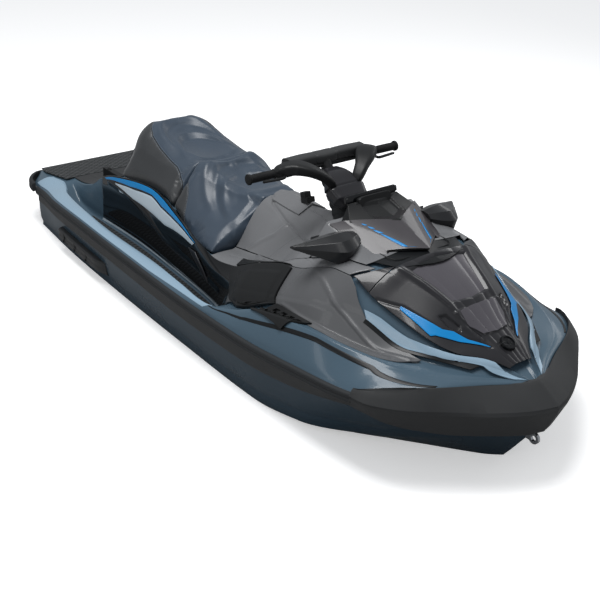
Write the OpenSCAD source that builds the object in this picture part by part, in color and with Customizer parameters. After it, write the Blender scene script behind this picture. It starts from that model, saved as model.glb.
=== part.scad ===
// Three-seat touring personal watercraft.
// X points to the bow, Y to port, Z up. The origin is on the centreline,
// amidships, at the level of the water when the craft floats unladen.

/* [Overall] */
// Length over the bumpers
overall_length = 3450; // [2900:10:4150]
// Width over the rub rails
beam = 1255; // [1060:5:1500]
// Height of the mouldings, keel to visor, as drawn
moulding_height = 1045; // [900:5:1250]

/* [Shell] */
// Thickness of the plastic body panels
panel_t = 12; // [8:1:16]
// Gap left between a panel and what it is screwed to
seat_gap = 0.3; // [0.2:0.05:0.6]
// Gap between pieces that move past each other
move_gap = 6; // [5:0.5:10]
// Thickness of the foam mats
mat_t = 8; // [5:1:12]
// Width of the rub rail outside the moulding
rail_w = 18; // [12:1:24]
// Height of the rub rail
rail_h = 46; // [36:1:56]
// Standing-out of the sponsons
sponson_w = 34; // [24:1:44]

/* [Engine] */
// Length of the engine block
engine_l = 650; // [520:10:780]
// Width of the engine block
engine_w = 400; // [320:10:440]
// Height of the engine block
engine_h = 400; // [320:10:430]

/* [Storage] */
// Length of the front storage bin
bin_l = 300; // [240:5:320]
// Width of the front storage bin
bin_w = 330; // [260:5:380]
// Depth of the front storage bin
bin_h = 330; // [220:5:400]
// Length of the glove box
glove_l = 170; // [140:5:180]
// Width of the glove box
glove_w = 130; // [100:5:150]
// Depth of the glove box
glove_h = 100; // [70:5:120]

/* [Steering] */
// Lean of the steering column from the vertical, in degrees
column_lean = 35; // [25:1:45]
// Radius of the steering shaft
shaft_r = 14; // [10:0.5:18]
// Radius of the handlebar tube
bar_r = 11; // [9:0.5:14]
// Length of the handlebar over the grips
bar_l = 800; // [680:10:900]
// Radius of a grip
grip_r = 17; // [14:0.5:20]
// Length of a grip
grip_l = 125; // [110:5:150]
// Radial clearance of a running fit
fit = 0.06; // [0.03:0.01:0.09]

/* [Jet pump] */
// Bore radius of the pump
pump_r = 80.5; // [70:0.5:86]
// Wall of the pump castings
pump_wall = 9; // [7:0.5:11]
// Radius of the pump tunnel in the hull
tunnel_r = 112; // [106:1:120]
// Radius of the impeller shaft
prop_shaft_r = 12; // [10:0.5:15]
// Number of impeller blades
blades = 4; // [3:1:5]
// Radius of the pivot pins of nozzle and bucket
pivot_r = 8; // [6:0.5:9]
// Outlet radius of the steering nozzle
outlet_r = 42; // [36:0.5:46]
// Radius of the reverse bucket's shell
bucket_r = 96; // [88:1:104]
// Tube radius of the boarding ladder
ladder_r = 9; // [7:0.5:12]
// Length of the boarding ladder's legs
ladder_l = 225; // [180:5:240]
// Half width of the boarding ladder
ladder_y = 190; // [175:5:210]

/* [Hidden] */

// ---- scale of the drawn lines to the wanted sizes -------------------------
kx = overall_length / 3450;
ky = beam / 1255;
kz = moulding_height / 1045;

// ---- smooth curve through a few drawn points ------------------------------
// Each table row is [x, y, z]; column c is read at x by cubic pieces whose
// slopes are limited, so that the curve never swings past its own points.
function piece(t, x, i = 0) = i >= len(t) - 2 || x < t[i + 1][0] ? i : piece(t, x, i + 1);
function rise(t, c, i) = (t[i + 1][c] - t[i][c]) / (t[i + 1][0] - t[i][0]);
function slope(t, c, i) =
    i <= 0 ? rise(t, c, 0)
  : i >= len(t) - 1 ? rise(t, c, len(t) - 2)
  : let (a = rise(t, c, i - 1), b = rise(t, c, i)) a * b <= 0 ? 0 : 2 * a * b / (a + b);
function at(t, c, x) =
    let (i = piece(t, x), h = t[i + 1][0] - t[i][0],
         s = max(0, min(1, (x - t[i][0]) / h)))
    (2 * s * s * s - 3 * s * s + 1) * t[i][c] + (s * s * s - 2 * s * s + s) * h * slope(t, c, i)
    + (3 * s * s - 2 * s * s * s) * t[i + 1][c] + (s * s * s - s * s) * h * slope(t, c, i + 1);
function on(t, x) = [at(t, 1, x), at(t, 2, x)];

// ---- lines of the hull: keel, chine, rub rail -----------------------------
keel = [[-1560, 0, -185], [500, 0, -190], [1000, 0, -178], [1290, 0, -130], [1440, 0, -70],
        [1515, 0, 20], [1590, 0, 130]];
chine = [[-1560, 430, -35], [-1000, 490, -22], [0, 548, -8], [600, 568, 0], [860, 540, 20],
         [1140, 415, 60], [1365, 262, 110], [1515, 120, 150], [1590, 40, 180]];
rail = [[-1710, 385, 226], [-1635, 450, 228], [-1560, 468, 232], [-1460, 482, 240],
        [-1250, 526, 258], [-830, 576, 284], [-480, 602, 290], [130, 624, 285],
        [545, 627.5, 291], [950, 622, 325], [1215, 604, 352], [1290, 548, 378],
        [1365, 478, 396], [1440, 380, 405], [1515, 205, 396], [1590, 62, 392]];

// ---- lines of the deck, from the gunwale to the middle --------------------
gunwale = [[-1710, 350, 260], [-1560, 375, 262], [-1436, 352, 264], [-1300, 404, 272],
           [-1000, 462, 285], [-620, 500, 291], [-330, 506, 292], [0, 535, 295],
           [300, 580, 318], [430, 560, 352], [540, 552, 396], [942, 528, 452],
           [1215, 450, 436], [1365, 368, 425], [1440, 290, 418], [1515, 150, 405], [1590, 44, 398]];
well_out = [[-1710, 330, 261], [-1560, 350, 263], [-1480, 335, 262], [-1330, 380, 165],
            [-1200, 405, 150], [-620, 470, 150], [0, 500, 150], [130, 520, 152],
            [240, 550, 262], [315, 556, 318], [430, 540, 348], [540, 530, 390],
            [942, 505, 450], [1215, 425, 434], [1365, 325, 424], [1440, 250, 420],
            [1515, 130, 407], [1590, 37, 399]];
foot = [[-1710, 300, 262], [-1560, 305, 264], [-1480, 300, 263], [-1330, 298, 166],
        [-1200, 300, 150], [-750, 306, 150], [-400, 330, 150], [0, 372, 150], [130, 405, 152],
        [240, 470, 264], [315, 500, 322], [430, 500, 352], [650, 490, 448], [850, 478, 456],
        [1125, 404, 430], [1275, 322, 438], [1365, 262, 434], [1440, 205, 428],
        [1515, 104, 410], [1590, 31, 400]];
side = [[-1710, 285, 263], [-1480, 285, 264], [-1335, 288, 240], [-1185, 296, 282], [-1035, 305, 322],
        [-750, 330, 352], [-400, 352, 330], [0, 402, 330], [200, 432, 345], [362, 468, 388],
        [633, 478, 470], [850, 446, 520], [990, 385, 528], [1215, 316, 456],
        [1320, 276, 452], [1440, 160, 442], [1515, 84, 418], [1590, 25, 402]];
shoulder = [[-1710, 275, 264], [-1410, 275, 268], [-1260, 280, 310], [-1110, 296, 405], [-960, 300, 455],
            [-600, 306, 508], [-290, 345, 462], [-90, 385, 428], [60, 390, 398],
            [180, 384, 412], [360, 378, 490], [540, 374, 556], [615, 372, 572], [820, 346, 640],
            [900, 338, 640], [990, 330, 600], [1125, 300, 545], [1262, 262, 498],
            [1365, 205, 466], [1440, 122, 452], [1515, 62, 426], [1590, 19, 404]];
ridge = [[15, 250, 400], [258, 280, 455], [396, 302, 490], [540, 330, 568], [690, 312, 626],
         [840, 290, 668], [990, 232, 668], [1065, 190, 646], [1215, 128, 592], [1350, 82, 508],
         [1440, 62, 468], [1515, 38, 432], [1590, 12, 405]];
crest = [[15, 118, 604], [205, 122, 584], [390, 150, 578], [540, 190, 640], [690, 205, 700],
         [840, 180, 700], [990, 110, 690], [1065, 90, 668], [1215, 68, 602], [1350, 42, 516],
         [1440, 32, 472], [1515, 20, 434], [1590, 6, 406]];
middle = [[15, 0, 640], [250, 0, 640], [390, 0, 664], [540, 0, 706], [690, 0, 730], [840, 0, 716],
          [990, 0, 698], [1065, 0, 676], [1215, 0, 606], [1350, 0, 518], [1440, 0, 474],
          [1515, 0, 434], [1590, 0, 407]];
// top of the inner moulding on which the seat, the console and the covers sit
base = [[-1710, 0, 265], [-1410, 0, 270], [-1260, 0, 300], [-1110, 0, 335], [-960, 0, 440],
        [-526, 0, 468], [-210, 0, 384], [15, 0, 386], [250, 0, 430], [540, 0, 520],
        [615, 0, 620], [690, 0, 690], [840, 0, 696], [990, 0, 676], [1065, 0, 640], [1215, 0, 560],
        [1350, 0, 472], [1440, 0, 436], [1515, 0, 404], [1590, 0, 384]];

// ---- stations of the loft --------------------------------------------------
step = 75;
first = -1710;
function stations(x0, x1) = [for (k = [round((x0 - first) / step) : round((x1 - first) / step)])
    first + k * step];
function put(x, p) = [for (q = p) [kx * x, ky * q[0], kz * q[1]]];
function away(p, q, d) = let (v = q - p, n = norm(v)) n < 0.01 ? p : p + v * d / n;

// closed solid through rings that hold the same number of points each, turning
// from +Y to +Z; every four-cornered field gets a point in its middle, so that
// two solids that share a field meet in the same four triangles
module loft(r) {
    n = len(r);
    m = len(r[0]);
    mids = [for (i = [0 : n - 2]) for (j = [0 : m - 1])
        (r[i][j] + r[i + 1][j] + r[i][(j + 1) % m] + r[i + 1][(j + 1) % m]) / 4];
    fields = [for (i = [0 : n - 2]) for (j = [0 : m - 1])
        let (a = i * m + j, b = i * m + (j + 1) % m, d = a + m, c = b + m, e = n * m + i * m + j)
        each [[a, d, e], [d, c, e], [c, b, e], [b, a, e]]];
    caps = [[for (j = [0 : m - 1]) j], [for (j = [m - 1 : -1 : 0]) (n - 1) * m + j]];
    polyhedron(concat([for (q = r) each q], mids), concat(fields, caps), convexity = 6);
}

// ---- sections --------------------------------------------------------------
well_floor = 118;
lip = 30;
pod_back = -1110;
function inset_rail(x) = at(rail, 1, x) - (x < 1250 ? rail_w / ky : 4);
function seam_z(x) = at(rail, 2, x) - rail_h / 2 / kz;
shelf = 196;
function lip_y(x) = max(inset_rail(x) - lip, 0.5 * inset_rail(x));
// level and half width of the flat top of the hull, on which the deck stands
function floor_z(x) = x < -1570 ? shelf : max(well_floor, at(chine, 2, x) + 30);
function floor_y(x) = x < -1570 ? 0.6 * inset_rail(x)
    : min(lip_y(x) - 2, 0.9 * hull_side(x, floor_z(x))[0] - 4);
function hull_half(x) = [on(keel, x), on(chine, x), [inset_rail(x), seam_z(x)],
    [lip_y(x), seam_z(x)], [floor_y(x), floor_z(x)], [0, floor_z(x)]];

// lines of the inner moulding: base plus the panel thickness below the skin
function inward(p, d) = [max(p[0] - d, 0.8 * p[0]), p[1]];
// (behind the side pods there is no panel, and both lines are the same)
function core_side(x) = x < pod_back - 1 ? on(side, x)
    : inward(on(side, x), panel_t) + [0, x > 240 ? -panel_t : 0];
function core_shoulder(x) = x < pod_back - 1 ? on(shoulder, x)
    : inward(on(shoulder, x), panel_t) + [0, -panel_t];
function core_ridge(x) = x < 0 ? [at(shoulder, 1, x) - 26, at(base, 2, x)]
    : [max(at(ridge, 1, x) - panel_t, 0.7 * at(ridge, 1, x)),
       min(at(base, 2, x), at(ridge, 2, x) - panel_t)];
function core_crest(x) = x < 0 ? [0.5 * at(shoulder, 1, x), at(base, 2, x)]
    : [0.6 * at(crest, 1, x), at(base, 2, x)];
function core_foot(x) = x > 240 ? inward(on(foot, x), 3) + [0, -panel_t] : on(foot, x);
function deck_half(x) = [[0, floor_z(x) + seat_gap], [floor_y(x), floor_z(x) + seat_gap],
    [lip_y(x) - seat_gap, seam_z(x) + seat_gap],
    [inset_rail(x), seam_z(x) + seat_gap], [inset_rail(x), at(rail, 2, x)],
    on(gunwale, x), on(well_out, x), core_foot(x), core_side(x), core_shoulder(x),
    core_ridge(x), core_crest(x), [0, at(base, 2, x)]];
function whole(x, h) = put(x, concat(h, [for (i = [len(h) - 2 : -1 : 1]) [-h[i][0], h[i][1]]]));

// a panel between two skin lines on one side (port): skin and core rows
module side_skin(x0, x1, skin, core) {
    loft([for (x = stations(x0, x1)) let (s = skin(x), c = core(x))
        put(x, concat([for (i = [0 : len(c) - 1]) away(c[i], s[i], seat_gap)],
                      [for (i = [len(s) - 1 : -1 : 0]) s[i]]))]);
}
// a panel right across the craft
module cross_skin(x0, x1, skin, core) {
    loft([for (x = stations(x0, x1)) let (s = skin(x), c = core(x),
        low = [for (i = [0 : len(c) - 1]) away(c[i], s[i], seat_gap)])
        put(x, concat([for (i = [len(low) - 1 : -1 : 1]) [-low[i][0], low[i][1]]], low,
                      [for (i = [len(s) - 1 : -1 : 0]) s[i]],
                      [for (i = [1 : len(s) - 1]) [-s[i][0], s[i][1]]]))]);
}
module starboard() mirror([0, 1, 0]) children();

// ---- hull and deck ---------------------------------------------------------
pump_z = -50 * kz;
transom_x = -1560 * kx;
transom_trim = 0.3;
tunnel_front = transom_x + 430;
plate_t = 8;
engine_x = -330 * kx;
engine_z = well_floor * kz - 210;
module engine_room(d) {
    translate([engine_x - d, -engine_w / 2 - d, engine_z - seat_gap])
        cube([engine_l + 2 * d, engine_w + 2 * d, engine_h + d + seat_gap]);
}
module along_x(x0, x1, r, z = 0) {
    translate([x0, 0, z]) rotate([0, 90, 0]) cylinder(h = x1 - x0, r = r, $fn = 64);
}
module hull_shell() color("#34424c") difference() {
    loft([for (x = stations(-1560, 1590)) whole(x, hull_half(x))]);
    engine_room(4);
    // the transom is sawn flat
    translate([2 * transom_x, -beam, -beam]) cube([transom_trim - transom_x, 2 * beam, 2 * beam]);
    // pump tunnel: round above, open below
    translate([transom_x - 1, 0, pump_z]) rotate([90, 0, 90]) linear_extrude(tunnel_front - transom_x + 1)
        union() {
            circle(r = tunnel_r, $fn = 64);
            translate([-tunnel_r, -250 * kz]) square([2 * tunnel_r, 250 * kz]);
        }
}
deck_split = 465;
module deck() color("#5a7384") difference() {
    loft([for (x = stations(first, deck_split)) whole(x, deck_half(x))]);
    engine_room(4);
    translate([2 * transom_x, -beam / 2, 0]) cube([-transom_x - 1, beam, shelf * kz]);
    translate([kx * deck_split - seat_gap, -beam, -beam]) cube([10, 2 * beam, 2 * beam]);
}
module bow_deck() color("#5a7384") difference() {
    loft([for (x = stations(deck_split, 1590)) whole(x, deck_half(x))]);
    translate([bin_x, -bin_w / 2 - 3, bin_floor - 3]) cube([bin_l, bin_w + 6, 500 * kz]);
}
module engine() color("#2c2f33") translate([engine_x, -engine_w / 2, engine_z])
    cube([engine_l, engine_w, engine_h]);
bin_x = 660 * kx;
bin_floor = 560 * kz - bin_h;

// ---- rails, bumpers, sponsons ----------------------------------------------
function rail_row(x) = let (y = inset_rail(x) * ky, z = at(rail, 2, x) * kz, w = rail_w)
    [[y + seat_gap, z - rail_h], [y + w, z - rail_h + 8], [y + w, z - 8], [y + seat_gap, z]];
module rub_rail() loft([for (x = stations(-1560, 1215)) [for (q = rail_row(x)) [kx * x, q[0], q[1]]]]);
module rub_rail_s() color("#26282b") starboard() rub_rail();
module rub_rail_p() color("#26282b") rub_rail();

// bumper lines round the bow, from the side at the back to the nose
bump_top = [[1215, 588, 372], [1290, 552, 384], [1365, 478, 400], [1440, 378, 411],
            [1515, 205, 402], [1594, 64, 398], [1606, 0, 400]];
bump_mid = [[1215, 608, 338], [1300, 590, 336], [1410, 510, 334], [1520, 372, 332],
            [1620, 238, 330], [1690, 112, 330], [1725, 0, 330]];
bump_low = [[1215, 602, 300], [1290, 560, 280], [1390, 478, 250], [1490, 360, 228],
            [1585, 205, 214], [1645, 85, 205], [1668, 0, 203]];
bump_gap = 0.5;
bump_n = len(bump_top) - 1;
function bump_wall(i) = i < bump_n ? [1215 + i * step, inset_rail(1215 + i * step) + bump_gap]
    : [1590 + 2 * bump_gap, 0];
function bump_point(q, s, z) = [kx * q[0], s * ky * q[1], kz * z];
function bump_ring(i, s) = [bump_point(bump_low[i], s, bump_low[i][2]),
    bump_point(bump_mid[i], s, bump_mid[i][2]), bump_point(bump_top[i], s, bump_top[i][2]),
    bump_point(bump_wall(i), s, bump_top[i][2]), bump_point(bump_wall(i), s, bump_low[i][2])];
module bow_bumper() color("#2a2c2e")
    loft(concat([for (i = [0 : bump_n]) bump_ring(i, 1)], [for (i = [bump_n - 1 : -1 : 0]) bump_ring(i, -1)]));
// stretch of the deck, to cut what stands on it to fit; up lifts it by the seat gap
module deck_block(x0, x1, up = 0) translate([0, 0, up])
    loft([for (x = stations(x0, x1)) whole(x, deck_half(x))]);

// stern bumper: a band round the back of the platform
stern_out = [[-1560, 486], [-1635, 466], [-1695, 430], [-1725, 372]];
stern_in = [-1560, -1635, -1680, -1710];
stern_low = 203;
stern_high = 254;
function deck_edge(x) = let (a = first + floor((x - first) / step) * step, t = (x - a) / step)
    (1 - t) * inset_rail(a) + t * inset_rail(a + step);
function stern_ring(i, s) = let (o = [kx * stern_out[i][0], s * ky * stern_out[i][1]],
    w = [kx * stern_in[i] - (i == 3 ? bump_gap : 0), s * (ky * deck_edge(stern_in[i]) + bump_gap)])
    [[o[0], o[1], kz * stern_low], [o[0], o[1], kz * stern_high],
     [w[0], w[1], kz * stern_high], [w[0], w[1], kz * stern_low]];
module stern_bumper() color("#26282b")
    loft(concat([for (i = [0 : 3]) stern_ring(i, -1)], [for (i = [3 : -1 : 0]) stern_ring(i, 1)]));

// sponson: a fin along the side of the hull, between the chine and the rail
function hull_side(x, z) = let (a = on(chine, x), b = [inset_rail(x), seam_z(x)],
    s = (z - a[1]) / (b[1] - a[1])) a + s * (b - a);
sponson_low = 62;
sponson_high = 138;
module sponson() loft([for (x = stations(-1185, -660))
    let (p = hull_side(x, sponson_low), q = hull_side(x, sponson_high), out = [sponson_w / ky, 0],
         g = [0.6, 0], k = x > -700 ? 0.4 : 1)
    put(x, [p + g, p + k * out + [0, 8], q + k * out, q + g])]);
module sponson_s() color("#3b3f42") starboard() sponson();
module sponson_p() color("#3b3f42") sponson();

// ---- mats ------------------------------------------------------------------
function floor_row(x) = [[0, at(base, 2, x)], core_crest(x), core_ridge(x), core_shoulder(x),
    core_side(x), core_foot(x)];
function raised(p, h) = [for (q = p) q + [0, h / kz]];
module platform_mat() color("#3a3c3e")
    cross_skin(-1710, -1485, function(x) raised(floor_row(x), mat_t), function(x) floor_row(x));
module footwell_mat() side_skin(-1185, 90,
    function(x) [on(foot, x) + [18, mat_t / kz], on(well_out, x) + [-3, mat_t / kz]],
    function(x) [on(foot, x) + [18, 0], on(well_out, x) + [-3, 0]]);
module footwell_mats() color("#3a3c3e") { footwell_mat(); starboard() footwell_mat(); }

// ---- body panels -----------------------------------------------------------
module side_pod() side_skin(pod_back, 240,
    function(x) [on(shoulder, x), on(side, x), on(foot, x) + [14, 2]],
    function(x) [core_shoulder(x), core_side(x), on(foot, x) + [0, 0.6]]);
module side_pod_s() color("#101214") starboard() side_pod();
module side_pod_p() color("#101214") side_pod();

module fairing() side_skin(240, 1515,
    function(x) [on(shoulder, x), on(side, x), on(foot, x)],
    function(x) [core_shoulder(x), core_side(x), core_foot(x)]);
module fairing_s() color("#4b4b4c") starboard() fairing();
module fairing_p() color("#4b4b4c") fairing();

panel_out = [9, 7];
module side_panel() side_skin(240, 615,
    function(x) [on(shoulder, x) + panel_out, on(side, x) + panel_out, on(foot, x) + panel_out],
    function(x) [on(shoulder, x), on(side, x), on(foot, x)]);
module side_panel_s() color("#1d1f21") starboard() side_panel();
module side_panel_p() color("#1d1f21") side_panel();

module side_vent() side_skin(540, 840,
    function(x) [on(well_out, x) + [0, 9], on(gunwale, x) + [4, 9]],
    function(x) [on(well_out, x), on(gunwale, x)]);
module side_vent_s() color("#232527") starboard() side_vent();
module side_vent_p() color("#232527") side_vent();

function middle_skin(x) = [on(middle, x), on(crest, x), on(ridge, x)];
function middle_core(x) = [[0, at(base, 2, x)], core_crest(x), core_ridge(x)];
module console_block(up = 0) translate([0, 0, up])
    cross_skin(15, 615, function(x) middle_skin(x), function(x) middle_core(x));
glove_x = 66 * kx;
glove_top = 640 * kz;
module console() color("#6a6a6b") difference() {
    console_block();
    translate([glove_x, -glove_w / 2, glove_top - glove_h]) cube([glove_l, glove_w, 2 * glove_h]);
    column_axis() translate([0, 0, -300]) cylinder(h = 300, r = column_r + seat_gap, $fn = 48);
}
lid_rim = 12;
lid_t = 10;
lid_gap = 0.5;
module glovebox_lid() color("#57585a") difference() {
    intersection() {
        console_block(lid_t + lid_gap);
        translate([glove_x - lid_rim, -glove_w / 2 - lid_rim, glove_top - glove_h])
            cube([glove_l + 2 * lid_rim, glove_w + 2 * lid_rim, 3 * glove_h]);
    }
    console_block(lid_gap);
}
module lower_hood() color("#232527") cross_skin(990, 1515,
    function(x) concat(middle_skin(x), [on(shoulder, x)]),
    function(x) concat(middle_core(x), [core_shoulder(x)]));
cap_x = 1432 * kx;
module nose_cap() color("#151617") difference() {
    translate([cap_x, 0, at(middle, 2, 1432) * kz]) rotate([0, 27, 0]) translate([0, 0, -10])
        cylinder(h = 22, r = 33, $fn = 48);
    translate([0, 0, seat_gap]) cross_skin(1365, 1515,
        function(x) middle_skin(x), function(x) [for (p = middle_core(x)) p - [0, 90]]);
}
eye_r = 12;
eye_t = 12;
eye_x = 1590 * kx + 40;
eye_z = 152 * kz;
module bow_eye() color("#9a9da0") translate([0, eye_t / 2, eye_z]) rotate([90, 0, 0]) difference() {
    union() {
        translate([1590 * kx + seat_gap, -16, 0]) cube([eye_x - 1590 * kx, 32, eye_t]);
        translate([eye_x, 0, 0]) cylinder(h = eye_t, r = 2 * eye_r, $fn = 48);
    }
    translate([eye_x, 0, -1]) cylinder(h = eye_t + 2, r = eye_r, $fn = 48);
}

// ---- seat ------------------------------------------------------------------
seat_top = [[-960, 150, 610], [-930, 190, 700], [-880, 205, 742], [-835, 212, 738], [-770, 220, 716],
            [-640, 222, 702], [-510, 214, 690], [-440, 205, 668], [-425, 200, 682], [-392, 196, 698],
            [-330, 186, 652], [-230, 170, 620], [-120, 150, 622], [-40, 132, 644], [15, 122, 640]];
seat_break = -435;
function seat_ring(x) = let (w = at(seat_top, 1, x), z = at(seat_top, 2, x), b = core_ridge(x), c = core_crest(x),
    e = seat_gap) [[0, z], [-0.6 * w, z - 6], [-w, z - 34], [-b[0], b[1] + 30],
    [-b[0] + 2, b[1] + e], [-c[0], c[1] + e], [0, c[1] + e], [c[0], c[1] + e],
    [b[0] - 2, b[1] + e], [b[0], b[1] + 30], [w, z - 34], [0.6 * w, z - 6]];
module seat_rear() color("#3f4d5c") loft([for (x = stations(-960, seat_break)) put(x, seat_ring(x))]);
module seat_front() color("#3f4d5c") difference() {
    loft([for (x = stations(seat_break, 15)) put(x, seat_ring(x))]);
    translate([seat_break * kx - 1, -400 * ky, 300 * kz]) cube([1 + seat_gap, 800 * ky, 500 * kz]);
    translate([15 * kx - seat_gap, -400 * ky, 300 * kz]) cube([2, 800 * ky, 500 * kz]);
}
handle_r = 12;
module rod(a, b, r) {
    d = b - a;
    translate(a) rotate([0, acos(d[2] / norm(d)), atan2(d[1], d[0])]) cylinder(h = norm(d), r = r, $fn = 32);
}
// the feet of the handle stand on a station, where the slope of the deck changes
handle_x = first + 9 * step;
handle_foot = let (z = at(base, 2, handle_x), before = z - at(base, 2, handle_x - step),
    after = at(base, 2, handle_x + step) - z, slant = max(before, after) * kz / (step * kx))
    kz * z + handle_r * sqrt(1 + slant * slant);
module grab_handle() color("#1b1c1e") {
    top = handle_foot + 130;
    back = [handle_x * kx - 35, 0, top + 14];
    translate(back) sphere(r = handle_r + 2, $fn = 32);
    for (s = [-1, 1]) {
        rod([handle_x * kx, s * 150 * ky, handle_foot], [handle_x * kx, s * 150 * ky, top], handle_r);
        rod([handle_x * kx, s * 150 * ky, top], back, handle_r);
        translate([handle_x * kx, s * 150 * ky, top]) sphere(r = handle_r + 2, $fn = 32);
        translate([handle_x * kx, s * 150 * ky, handle_foot]) sphere(r = handle_r, $fn = 32);
    }
}
module cargo_base() color("#1e2022") difference() {
    for (s = [-1, 1]) translate([-1390 * kx, s * 120 * ky - 18, 250 * kz]) cube([240 * kx, 36, 92 * kz]);
    deck_block(-1410, -1110, seat_gap);
    for (s = [-1, 1], i = [0, 1]) translate([(-1350 + 150 * i) * kx, s * 120 * ky, cargo_floor])
        cylinder(h = 100, r = cargo_r, $fn = 32);
}
cargo_r = 6;
cargo_floor = 322 * kz;

// ---- front storage cover ---------------------------------------------------
cover_top = [[615, 222, 792], [690, 244, 806], [765, 250, 806], [840, 232, 800], [915, 206, 768], [990, 168, 722]];
function cover_ring(x) = let (c = [for (p = middle_core(x)) p + [0, cover_gap]], w = at(cover_top, 1, x),
    z = at(cover_top, 2, x), b = on(ridge, x))
    concat([[-c[2][0], c[2][1]], [-c[1][0], c[1][1]]], c,
        [b + [2, 6], [w, z - 34], [0.55 * w, z - 6], [0, z], [-0.55 * w, z - 6], [-w, z - 34], [-b[0] - 2, b[1] + 6]]);
cover_gap = 0.6;
cover_back = 622 * kx;
cover_front = 982 * kx;
cover_axis = [992 * kx, 700 * kz];
// below the level of the hinge the back of the cover is round about the hinge,
// so that it clears the console as it swings
module cover_block(up = 0) translate([0, 0, up]) intersection() {
    loft([for (x = stations(615, 990)) put(x, cover_ring(x))]);
    translate([cover_axis[0], 500 * ky, cover_axis[1]]) rotate([90, 0, 0]) linear_extrude(1000 * ky) {
        intersection() {
            circle(r = cover_axis[0] - cover_back, $fn = 128);
            translate([-1000 * kx, -500 * kz]) square([1000 * kx + cover_front - cover_axis[0], 500 * kz]);
        }
        translate([cover_back - cover_axis[0], 0]) square([cover_front - cover_back, 300 * kz]);
    }
}
module upper_hood() color("#1a1c1e") difference() {
    cover_block();
    translate([cover_back - 1, -120 * ky, 760 * kz]) cube([24 * kx, 240 * ky, 100 * kz]);
}
visor_rows = [[596, 152, 842], [640, 186, 852], [690, 206, 846], [750, 214, 822], [800, 196, 786]];
module visor() color("#191b1d") difference() {
    loft([for (p = visor_rows) let (w = p[1], z = p[2])
        put(p[0], [[0, z - 14], [0.6 * w, z - 20], [w, z - 46], [w, z - 34], [0.6 * w, z - 8], [0, z],
                   [-0.6 * w, z - 8], [-w, z - 34], [-w, z - 46], [-0.6 * w, z - 20]])]);
    cover_block(seat_gap);
}
module gauge() color("#0d0e10") difference() {
    translate([634 * kx, -105 * ky, 770 * kz]) rotate([0, -12, 0]) cube([34, 210 * ky, 52]);
    cover_block(seat_gap);
}
module mirror_pod() difference() {
    hull() {
        translate([800 * kx, 292 * ky, 735 * kz]) sphere(r = 42, $fn = 32);
        translate([735 * kx, 385 * ky, 728 * kz]) sphere(r = 27, $fn = 32);
        translate([664 * kx, 448 * ky, 708 * kz]) sphere(r = 9, $fn = 32);
        translate([790 * kx, 225 * ky, 735 * kz]) sphere(r = 20, $fn = 32);
    }
    cover_block(seat_gap);
    translate([seat_gap, 0, 0]) cover_block();
}
module mirror_s() color("#17181a") starboard() mirror_pod();
module mirror_p() color("#17181a") mirror_pod();

// ---- steering --------------------------------------------------------------
column_r = 40;
column_top = -12;
bar_up = 40;
axis_x = 345 * kx;
axis_z = 830 * kz;
module column_axis() translate([axis_x, 0, axis_z]) rotate([0, -column_lean, 0]) children();
module column() color("#3c3d3f") difference() {
    column_axis() translate([0, 0, -235]) cylinder(h = 235 + column_top, r = column_r, $fn = 48);
    column_axis() translate([0, 0, -150]) cylinder(h = 200, r = shaft_r + fit, $fn = 48);
}
module handlebar() color("#2b2d2f") column_axis() {
    translate([0, 0, -140]) cylinder(h = 140 + bar_up, r = shaft_r, $fn = 48);
    translate([0, 0, column_top + move_gap]) cylinder(h = bar_up + 18 - column_top - move_gap, r = 26, $fn = 48);
    translate([0, -bar_l / 2, bar_up]) rotate([-90, 0, 0]) cylinder(h = bar_l, r = bar_r, $fn = 48);
}
pad_l = 235;
module bar_pad() color("#202225") difference() {
    column_axis() hull() for (s = [-1, 1], x = [-34, 30])
        translate([x, s * pad_l / 2, bar_up + 22]) sphere(r = 24, $fn = 24);
    column_axis() translate([0, -bar_l / 2, bar_up]) rotate([-90, 0, 0])
        cylinder(h = bar_l, r = bar_r + seat_gap, $fn = 48);
    column_axis() cylinder(h = bar_up + 18 + seat_gap, r = 26 + seat_gap, $fn = 48);
}
module sleeve(y0, y1, r) column_axis() translate([0, y0, bar_up]) rotate([-90, 0, 0]) difference() {
    cylinder(h = y1 - y0, r = r, $fn = 48);
    translate([0, 0, -1]) cylinder(h = y1 - y0 + 2, r = bar_r + fit, $fn = 48);
}
module grip_p() color("#141516") sleeve(bar_l / 2 - grip_l, bar_l / 2, grip_r);
module grip_s() color("#141516") sleeve(-bar_l / 2, grip_l - bar_l / 2, grip_r);
lever_y = bar_l / 2 - grip_l - 30;
module lever() {
    sleeve(lever_y, lever_y + 22, bar_r + 10);
    column_axis() {
        rod([bar_r + 4, lever_y + 11, bar_up], [52, lever_y + 22, bar_up - 4], 6);
        rod([52, lever_y + 22, bar_up - 4], [46, lever_y + 120, bar_up - 6], 6);
        translate([52, lever_y + 22, bar_up - 4]) sphere(r = 8, $fn = 24);
        translate([46, lever_y + 120, bar_up - 6]) sphere(r = 8, $fn = 24);
    }
}
module throttle_lever() color("#2c2e30") starboard() lever();
module reverse_lever() color("#2c2e30") lever();
module switch_pod() color("#1a1b1d") for (s = [-1, 1])
    sleeve(s * (lever_y - 26) - 21, s * (lever_y - 26) + 21, bar_r + 13);

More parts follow.
